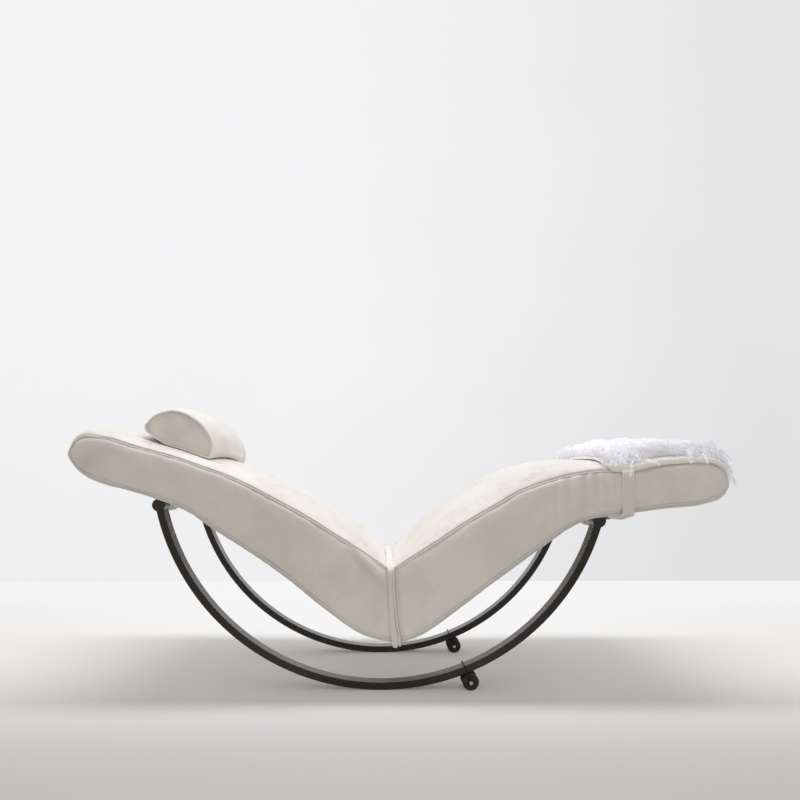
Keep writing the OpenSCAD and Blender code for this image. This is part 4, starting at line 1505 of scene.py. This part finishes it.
@dataclass
class FootCover:
    """The padded cover over the foot end, and the strap that holds it round the legs."""

    legs: Cushion
    front_x: float = 0.580
    end_gap: float = 0.010
    width: float = 0.6856
    thick: float = 0.0068
    lift: float = 0.0014
    hem: float = 0.011
    corner: float = 0.022
    across: int = 88
    along: int = 66
    near_edge: tuple = (
        *(0.0, 0.0012, 0.003, 0.006, 0.0088, 0.0102, 0.011),
        *(0.0118, 0.0132, 0.017, 0.023),
    )
    strap_thick: float = 0.0034
    strap_sag: float = 0.017
    strap_drop: tuple = (
        (0.0, 0.0020),
        (0.014, 0.0072),
        (0.045, 0.0150),
        (0.083, 0.0182),
        (0.145, 0.0185),
        (0.218, 0.0165),
        (0.345, 0.0155),
    )
    strap_flare: float = 0.026
    strap_section: tuple = (
        (-1, 0.55),
        (-0.95, 1.2),
        (-0.9, 1.35),
        (-0.85, 1.05),
        (-0.79, 0.62),
        (-0.6, 0.8),
        (-0.3, 0.86),
        (0, 0.88),
        (0.3, 0.86),
        (0.6, 0.8),
        (0.79, 0.62),
        (0.85, 1.05),
        (0.9, 1.35),
        (0.95, 1.2),
        (1, 0.55),
    )

    def run(self) -> tuple[Array, Array]:
        """Returns the distances along the top seam of all stations, and their numbers."""
        steps = np.linalg.norm(np.diff(self.legs.top, axis=0), axis=1)
        return np.concatenate([[0], np.cumsum(steps)]), np.arange(len(self.legs.top))

    def length(self) -> float:
        """Returns the cover's length from its front edge to its end."""
        run, rows = self.run()
        start = np.interp(self.legs.station_at(self.front_x), rows, run)
        return float(run[-1] - self.end_gap - start)

    def top_at(self, y: Array, ahead: Array, lift: object) -> Array:
        """Finds points above the legs from the cover's own measures.

        Args:
            y: place across the chair.
            ahead: distance from the cover's front edge.
            lift: height above the legs' lying surface.

        Returns:
            The points, one row each.
        """
        run, rows = self.run()
        start = np.interp(self.legs.station_at(self.front_x), rows, run)
        return self.legs.lying(y, np.interp(start + ahead, run, rows), lift)

    def cover(self) -> Piece:
        """Models the cover with rounded front corners and a stitched hem."""
        piece = block("foot_cover_sheet", self.across, 1, self.along)
        u, w, station = (a for a in coords(piece).T)
        length = self.length()
        across = spaced(self.width, self.near_edge, self.across)
        ahead = spaced(length, self.near_edge, self.along) + length / 2
        y = across[np.round((u + 1) / 2 * self.across).astype(int)]
        d = ahead[np.round(station).astype(int)]
        side_inset = self.width / 2 - np.abs(y)
        reach = np.clip(1 - side_inset / self.corner, 0, 1)
        cut = self.corner * (1 - np.sqrt(1 - reach**2))
        inset = np.minimum(np.minimum(side_inset, d), length - d)
        d = d + cut * (1 - d / length) ** 3
        rounded = np.sqrt(np.clip(inset / 0.004, 0, 1))
        stitched = hump(inset - self.hem, 0.0013)
        padded_hem = 0.0016 * hump(inset - 0.0055, 0.003)
        thick = self.thick * (0.35 + 0.65 * rounded) - 0.0034 * stitched + padded_hem
        lift = self.lift + np.where(w > 0, thick, self.thick * 0.3 * (1 - rounded))
        points = self.top_at(y, d, lift)
        wavy = uneven(points * (1.0, 1.0, 0.3), 34.0, 7.7) * 0.0011 * np.exp(-inset / 0.03)
        points[:, 2] += np.maximum(wavy, -0.0004)
        pulled = 0.0075 + 0.004 * hump(points[:, 0] - 0.628, 0.035)
        points[:, 2] -= pulled * np.clip(1 - side_inset / 0.0031, 0, 1)
        move_to(piece, points)
        face_outwards(piece)
        # Painted shade in the stitched groove of the hem.
        tint(piece, -0.2 * stitched * (w > 0))
        refine(piece, 1)
        return piece

    def strap(self) -> Piece:
        """Models the strap, with a ridge along both edges and a loose run below."""
        low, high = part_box("foot_strap")
        side = high.y - 0.004 - 0.0006
        top = float(self.legs.top[round(self.legs.station_at((low.x + high.x) / 2)), 1]) + 0.002
        base = low.z + 0.004 + self.strap_sag
        across, drop = np.array(self.strap_drop).T
        places = np.linspace(-side + 0.006, side - 0.006, 41)
        heights = base + 0.0049 - np.interp(side - np.abs(places), across, drop)
        softened = np.convolve(np.pad(heights, 1, "edge"), (0.25, 0.5, 0.25), "valid")
        belly = list(zip(places, softened))
        corners = [(-side + 0.0034, top + 0.002), (-side + 0.001, top - 0.003)]
        corners += [(-side, top - 0.008), (-side, (top + base) / 2)]
        corners += [(-side, base + 0.012), (-side + 0.001, base)]
        line = smooth_curve([*corners, *belly, *[(-y, z) for y, z in corners[::-1]]], 5)
        ahead = unit_rows(np.gradient(line, axis=0))
        outward = np.column_stack([ahead[:, 1], -ahead[:, 0]])
        places, heights = np.array(self.strap_section).T
        faces = len(places) - 1
        piece = block("foot_strap_band", faces, 1, len(line) - 1)
        u, w, station = (a for a in coords(piece).T)
        k = np.round(station).astype(int)
        slot = np.round((u + 1) / 2 * faces).astype(int)
        x = (low.x + high.x) / 2 + places[slot] * (high.x - low.x) / 2
        taper = np.clip((top - line[k, 1]) / 0.012, 0.3, 1)
        thick = np.where(w > 0, heights[slot] * self.strap_thick * taper, 0)
        plane = line[k] + outward[k] * thick[:, None]
        points = np.column_stack([x, plane])
        under = np.clip((base - points[:, 2]) / self.strap_sag, 0, 1)
        points[:, 0] += uneven(points * (0, 1, 1), 8.0, 3.0) * 0.0018
        points[:, 0] -= 0.004 * under * np.abs(np.sin(6 * points[:, 1]))
        inward = side - np.abs(points[:, 1])
        flare = hump(inward - 0.040, 0.026) * (1 - u) / 2 * (points[:, 2] < base + 0.004)
        points[:, 0] -= self.strap_flare * flare
        points[:, 2] += 0.009 * flare
        move_to(piece, points)
        face_outwards(piece)
        refine(piece, 1)
        return piece

    def build(self) -> None:
        """Builds the cover and the strap, finishes them and ties them to the frame."""
        sheet, strap = self.cover(), self.strap()
        hand_in(sheet, "frame", Finishes.COVER, ["foot_cover"])
        hand_in(strap, "frame", Finishes.STRAP, ["foot_strap"])
        round(self.length(), 3)


@dataclass
class FeatherTrim:
    """The pile of plumes on the foot cover, all copies of one plume."""

    cover: FootCover
    count: int = 2100
    pairs: int = 22
    length: tuple[float, float] = (0.030, 0.056)
    barb: float = 0.012
    heights: tuple = (
        (0.0, 0.036),
        (0.02, 0.048),
        (0.06, 0.045),
        (0.16, 0.034),
        (0.26, 0.026),
        (0.34, 0.018),
    )
    set_back: float = 0.16
    seed: int = 41
    wisps: tuple = (0.655, 0.664, 0.690, 0.806, 0.816, 0.838, 0.846, 0.880, 0.900)

    def plume(self) -> Piece:
        """Models one plume: barbs that leave the quill in pairs, drawn flat."""
        bpy.ops.object.select_all(action="DESELECT")
        rows = 2 * self.pairs - 1
        bpy.ops.mesh.primitive_grid_add(x_subdivisions=2, y_subdivisions=rows, size=2)
        piece = named("feather_plumes")
        bpy.ops.object.mode_set(mode="EDIT")
        bpy.ops.mesh.select_mode(type="FACE")
        bpy.ops.mesh.select_all(action="DESELECT")
        bpy.ops.object.mode_set(mode="OBJECT")
        for face in piece.data.polygons:
            row = round((face.center.y + 1) / 2 * rows - 0.5)
            face.select = row % 2 == 1
        bpy.ops.object.mode_set(mode="EDIT")
        bpy.ops.mesh.delete(type="FACE")
        bpy.ops.object.mode_set(mode="OBJECT")
        return piece

    def laid(self, rng: np.random.Generator) -> tuple[Array, Array, Array]:
        """Chooses where each plume starts and which way it points.

        Args:
            rng: the seeded source of chance.

        Returns:
            Places across, distances from the cover's front edge, and directions.
        """
        length = self.cover.length()
        margin = self.cover.hem + 0.004
        half = self.cover.width / 2 - margin
        y = rng.uniform(-half, half, self.count)
        d = margin + self.set_back * np.maximum(0, y)
        d = d + (length - 0.004 - d) * rng.uniform(0, 1, self.count)
        clump = uneven(np.column_stack([d, y, 0 * y]), 14.0, 5.0)
        heading = clump * 4.2 + rng.normal(0, 0.7, self.count)
        sideways = math.pi / 2 * np.sign(y)
        for near, pull, share in (
            (half - np.abs(y), sideways, 0.75),
            (length - d, 0.0, 0.75),
            (d - margin, sideways, 0.5),
        ):
            turn = (pull - heading + math.pi) % (2 * math.pi) - math.pi
            heading = heading + turn * np.exp(-near / 0.03) * share
        wisps = np.array(self.wisps)
        k = len(wisps)
        y[:k] = -half + rng.uniform(0, 0.012, k)
        d[:k] = wisps - self.cover.front_x
        heading[:k] = -math.pi / 2 + rng.uniform(-0.5, 0.6, k)
        return y, d, heading

    def heap(self, y: Array, d: Array) -> Array:
        """Returns the height of the down above the cover."""
        length = self.cover.length()
        margin = self.cover.hem + 0.006
        half = self.cover.width / 2 - margin
        front = margin - 0.002 + self.set_back * np.maximum(0, y)
        inset = np.minimum(np.minimum(half - np.abs(y), d - front), length - 0.005 - d)
        inset = np.maximum(0, inset)
        level = np.interp(d, *np.array(self.heights).T)
        flat = np.column_stack([d, y, 0 * y])
        bumps = 1 + 0.3 * uneven(flat, 17.0, 2.2) + 0.2 * uneven(flat, 47.0, 6.2)
        return level * bumps * (1 - np.exp(-inset / 0.011))

    def down(self) -> Piece:
        """Models the soft heap of down that the plumes lie on."""
        across, along = 110, 64
        piece = block("feather_down", across, 1, along)
        u, w, station = (a for a in coords(piece).T)
        margin = self.cover.hem + 0.004
        y = u * (self.cover.width / 2 - margin)
        front = margin + self.set_back * np.maximum(0, y)
        d = front + np.round(station) / along * (self.cover.length() - front - 0.004)
        rise = np.where(w > 0, 0.001 + self.heap(y, d), 0)
        points = self.cover.top_at(y, d, self.cover.lift + self.cover.thick + 0.0022 + rise)
        move_to(piece, points)
        face_outwards(piece)
        # Painted shade low in the heap, and painted light high up and near its front edge.
        tint(piece, -0.22 + 0.36 * np.clip(rise / 0.036, 0, 1) + 0.2 * np.exp(-(d - front) / 0.04))
        refine(piece, 1)
        return piece

    def pile(self) -> Piece:
        """Models the pile: the plume is copied, and each copy laid and bent its own way."""
        rng = np.random.default_rng(self.seed)
        piece = self.plume()
        flat = coords(piece)
        copies = piece.modifiers.new("copies", "ARRAY")
        copies.count = self.count
        copies.use_relative_offset = False
        apply_modifiers(piece)
        each = len(flat)
        y0, d0, heading = self.laid(rng)
        sunk = 0.75 * self.heap(y0, d0)
        base = self.cover.top_at(y0, d0, self.cover.lift + self.cover.thick + sunk)
        span = rng.uniform(*self.length, self.count)
        lift = rng.uniform(0.002, 0.015, self.count) * (0.75 + 0.5 * uneven(base, 22.0, 12.0))
        droop = rng.uniform(0.2, 1.0, self.count)
        bend = rng.normal(0, 0.35, self.count)
        roll = rng.normal(0, 0.7, self.count)
        k = np.repeat(np.arange(self.count), each)
        side = np.tile(flat[:, 0], self.count)
        t = np.tile((flat[:, 1] + 1) / 2, self.count)
        jitter = rng.normal(0, 1, (len(k), 3)) * (0.0022 * np.abs(side))[:, None]
        wisp = k < len(self.wisps)
        reach = self.barb * np.sin(np.pi * np.clip(0.12 + 0.8 * t, 0, 1)) ** 0.7
        reach = reach * np.where(wisp, 0.45, 1)
        reach = reach * np.repeat(rng.uniform(0.7, 1.25, self.count), each)
        pinch = np.where(np.abs(side) > 0.5, 0.05, 0.6)
        rows = 2 * self.pairs - 1
        middle = (2 * np.floor(np.round(t * rows) / 2) + 0.5) / rows
        along = middle + (t - middle) * pinch * 0.8
        fore = along * span[k] + np.abs(side) * reach * 0.75
        out = side * reach * 0.8
        angle = heading[k] + bend[k] * along
        rise = lift[k] * np.sin(np.minimum(1.9 * along, 2.3)) - droop[k] * 0.018 * along**3
        rise = rise + out * np.sin(roll[k]) * 0.7 - np.abs(out) * 0.25
        points = base[k] + np.column_stack(
            [
                fore * np.cos(angle) - out * np.sin(angle) * np.cos(roll[k]),
                fore * np.sin(angle) + out * np.cos(angle) * np.cos(roll[k]),
                rise,
            ]
        )
        # Painted shade low in the pile, and painted light high up, near the front edge and on the
        # hanging wisps; each plume's random tone is added.
        high = np.clip((sunk[k] + rise) / 0.040, 0, 1)
        own = rng.normal(0, 0.05, self.count) + 0.2 * np.exp(-d0 / 0.06)
        tint(piece, np.where(wisp, 0.12, -0.2 + 0.36 * high + own[k]))
        points = self.settled(points + jitter)
        points[:, 0] = self.eased(points[:, 0], 0.910, 0.030)
        held = np.where(wisp, 0.344, 0.316)
        points[:, 1] = np.sign(points[:, 1]) * self.eased(np.abs(points[:, 1]), held, 0.026)
        move_to(piece, points)
        select_only(piece)
        bpy.ops.object.shade_smooth()
        return piece

    @staticmethod
    def eased(values: Array, limit: float, room: float) -> Array:
        """Holds values past a limit within a little room beyond it."""
        over = np.maximum(0, values - limit)
        return np.where(over > 0, limit + room * (1 - np.exp(-over / room)), values)

    def settled(self, points: Array) -> Array:
        """Keeps plumes on top of the cover, and lets them hang where they pass its edge."""
        legs = self.cover.legs
        x, y, z = points.T
        order = np.argsort(legs.top[:, 0])
        seam = np.interp(x, legs.top[order, 0], legs.top[order, 1])
        station = np.interp(x, legs.top[order, 0], order.astype(float))
        half = legs.shape.half_width
        full = legs.full(y, station)
        floor = seam + legs.crown_at(station) * full + self.cover.lift + self.cover.thick + 0.001
        end = legs.top[:, 0].max()
        past_side = np.abs(y) > half - 0.003
        past_end = x > end - 0.002
        over = np.maximum(0, np.abs(y) - half + 0.006) * 1.2 + np.maximum(0, x - end) * 1.3
        z = np.where(past_side | past_end, z - over * 0.8, np.maximum(z, floor))
        low = past_side & (z < floor)
        y = np.where(low, np.sign(y) * np.maximum(np.abs(y), half + 0.0105), y)
        return np.column_stack([x, y, z])

    def build(self) -> None:
        """Builds the pile and the down, finishes them and ties them to the frame."""
        hand_in(self.pile(), "frame", Finishes.FEATHERS, ["feather_trim"])
        down = self.down()
        hand_in(down, "frame", Finishes.DOWN)


# ---------------------------------------------------------------------- studio
@dataclass
class Studio:
    """Pale floor and wall, soft light from above, and the photograph's camera."""

    camera_at: tuple[float, float, float] = (0.0, -2.1555, 0.551)
    lens: float = 31.5
    shift: tuple[float, float] = (0.0238, 0.1105)
    wall_y: float = 2.01

    def plane(self, name: str, size: tuple[float, float], at: tuple, upright: bool) -> Piece:
        """Adds one flat stage plane."""
        bpy.ops.object.select_all(action="DESELECT")
        turn = (math.radians(90) if upright else 0, 0, 0)
        bpy.ops.mesh.primitive_plane_add(size=1, location=at, rotation=turn)
        piece = named(name)
        piece.scale = (*size, 1)
        bpy.ops.object.transform_apply(location=True, rotation=True, scale=True)
        return piece

    def pale(self, name: str, near: float, far: float) -> bpy.types.Material:
        """Makes the floor: painted shade darkens it towards the camera, and a painted glow to
        camera and gloss rays lightens it and its shadows, more towards the wall, where it meets
        the wall almost white.
        """
        made, graph = self.material(name)
        surface = graph.add("ShaderNodeBsdfPrincipled", Roughness=0.9)
        surface.inputs["Specular IOR Level"].default_value = 0.1
        depth = graph.add("ShaderNodeSeparateXYZ", Vector=graph.place()).outputs[1]
        # Painted shade, darker towards the camera.
        tone = graph.ramp(depth, -0.9, 0.1, (near, far))
        tone = graph.blend(1.0, (1.0, 0.995, 0.99), tone, "MULTIPLY")
        graph.feed(surface.inputs["Base Color"], tone)
        # Painted glow that lightens the floor and its shadows, more towards the wall.
        share = graph.ramp(depth, 0.1, 1.6, (0.14, 0.85))
        share = graph.maths("MULTIPLY", self.seen(graph, "Camera", "Glossy"), share)
        self.glow(graph, surface, (0.945, 0.945, 0.95), share)
        return made

    def backdrop(self, name: str) -> bpy.types.Material:
        """Makes the wall: to the camera and to gloss it glows almost white, with painted shade low
        down and to the right; pale to the rest.
        """
        made, graph = self.material(name)
        paint = graph.add("ShaderNodeBsdfPrincipled", Roughness=0.9)
        paint.inputs["Base Color"].default_value = (0.8, 0.8, 0.8, 1)
        place = graph.add("ShaderNodeSeparateXYZ", Vector=graph.place())
        # Painted shade, darker low down and to the right; the mottle is random.
        height = graph.ramp(place.outputs[2], 0.0, 1.9, (0.88, 0.925))
        side = graph.ramp(place.outputs[0], -0.6, 2.6, (1.0, 0.86))
        mottle = graph.ramp(graph.noise(graph.place(), 1.3, 4.0), 0.2, 0.8, (0.985, 1.01))
        tone = graph.maths("MULTIPLY", graph.maths("MULTIPLY", height, side), mottle)
        colour = graph.blend(1.0, (0.985, 0.985, 1.0), tone, "MULTIPLY")
        self.glow(graph, paint, colour, self.seen(graph, "Camera", "Glossy", "Transmission"))
        return made

    @staticmethod
    def material(name: str) -> tuple[bpy.types.Material, Graph]:
        """Starts a stage material and its node graph."""
        made = bpy.data.materials.new(name)
        made.use_nodes = True
        return made, Graph(made.node_tree)

    @staticmethod
    def seen(graph: Graph, first: str, *others: str) -> Socket:
        """Returns 1 where rays of the named kinds look."""
        rays = graph.add("ShaderNodeLightPath").outputs
        found = rays[f"Is {first} Ray"]
        for kind in others:
            found = graph.maths("MAXIMUM", found, rays[f"Is {kind} Ray"])
        return found

    @staticmethod
    def glow(graph: Graph, surface: bpy.types.Node, colour: object, share: Socket) -> None:
        """Ends a graph with a surface that glows by a share."""
        glow = graph.add("ShaderNodeEmission", Strength=1.0)
        graph.feed(glow.inputs["Color"], colour)
        mixed = graph.add("ShaderNodeMixShader")
        for k, link in enumerate((share, surface.outputs[0], glow.outputs[0])):
            graph.feed(mixed.inputs[k], link)
        out = graph.add("ShaderNodeOutputMaterial")
        graph.feed(out.inputs["Surface"], mixed.outputs[0])

    def lamp(
        self, name: str, at: tuple, aim: tuple, size: tuple[float, float], power: float
    ) -> None:
        """Adds a soft rectangular lamp aimed at a point."""
        data = bpy.data.lights.new(name, "AREA")
        data.shape = "RECTANGLE"
        data.size, data.size_y = size
        data.energy = power
        data.color = (0.89, 0.94, 1.0)
        lamp = bpy.data.objects.new(name, data)
        lamp.location = at
        lamp.rotation_euler = (Vector(aim) - Vector(at)).to_track_quat("-Z", "Y").to_euler()
        bpy.context.scene.collection.objects.link(lamp)

    def build(self) -> None:
        """Sets the stage, the lamps, the world and the camera."""
        floor = self.plane("stage_floor", (14, 9), (0, self.wall_y - 4.5, 0), False)
        coat(floor, self.pale("stage_floor_paint", 0.51, 0.95))
        wall = self.plane("stage_wall", (14, 6), (0, self.wall_y, 3), True)
        coat(wall, self.backdrop("stage_wall_paint"))
        self.lamp("overhead_strip", (0.0, -0.08, 2.9), (0.0, -0.08, 0.0), (3.2, 0.5), 51)
        world = bpy.data.worlds.new("studio_air")
        bpy.context.scene.world = world
        world.use_nodes = True
        world.node_tree.nodes["Background"].inputs["Color"].default_value = (1.0, 0.93, 0.865, 1)
        world.node_tree.nodes["Background"].inputs["Strength"].default_value = 0.595
        data = bpy.data.cameras.new("photo_camera")
        data.lens = self.lens
        data.sensor_width = 36.0
        data.shift_x, data.shift_y = self.shift
        data.clip_end = 60
        camera = bpy.data.objects.new("photo_camera", data)
        camera.location = self.camera_at
        camera.rotation_euler = (math.radians(90), 0, 0)
        bpy.context.scene.collection.objects.link(camera)
        bpy.context.scene.camera = camera
        bpy.context.scene.view_settings.view_transform = "Standard"


@dataclass
class Hardware:
    """The steel, wood and rubber nodes that keep their CAD shape."""

    finishes: dict[str, Finish] = field(
        default_factory=lambda: {
            "rocker_bar": Finishes.BARS,
            "cross_tube": Finishes.TUBES,
            "end_caps": Finishes.CAPS,
            "_clamps": Finishes.CLAMPS,
            "screws": Finishes.SCREWS,
            "_board": Finishes.BOARDS,
            "seat_plates": Finishes.PLATES,
            "bail": Finishes.WIRE,
            "axle": Finishes.AXLE,
            "core": Finishes.CORE,
            "tyres": Finishes.TYRE,
        }
    )

    def build(self) -> None:
        """Gives each node its finish."""
        for name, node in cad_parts.items():
            for part, finish in self.finishes.items():
                if part in name:
                    coat(node, finish.material())
                    log.info("%s: %s", name, finish.name)


def main() -> None:
    """Builds the chaise and its studio."""
    logging.basicConfig(level=logging.INFO, format="%(message)s")
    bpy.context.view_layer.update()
    Studio().build()
    Hardware().build()
    legs = Cushion(LEGS)
    cover = FootCover(legs)
    back = Cushion(BACK)
    back.build()
    legs.build()
    CentreJoint().build()
    Headrest(back).build()
    cover.build()
    FeatherTrim(cover).build()


if __name__ == "__main__":
    main()
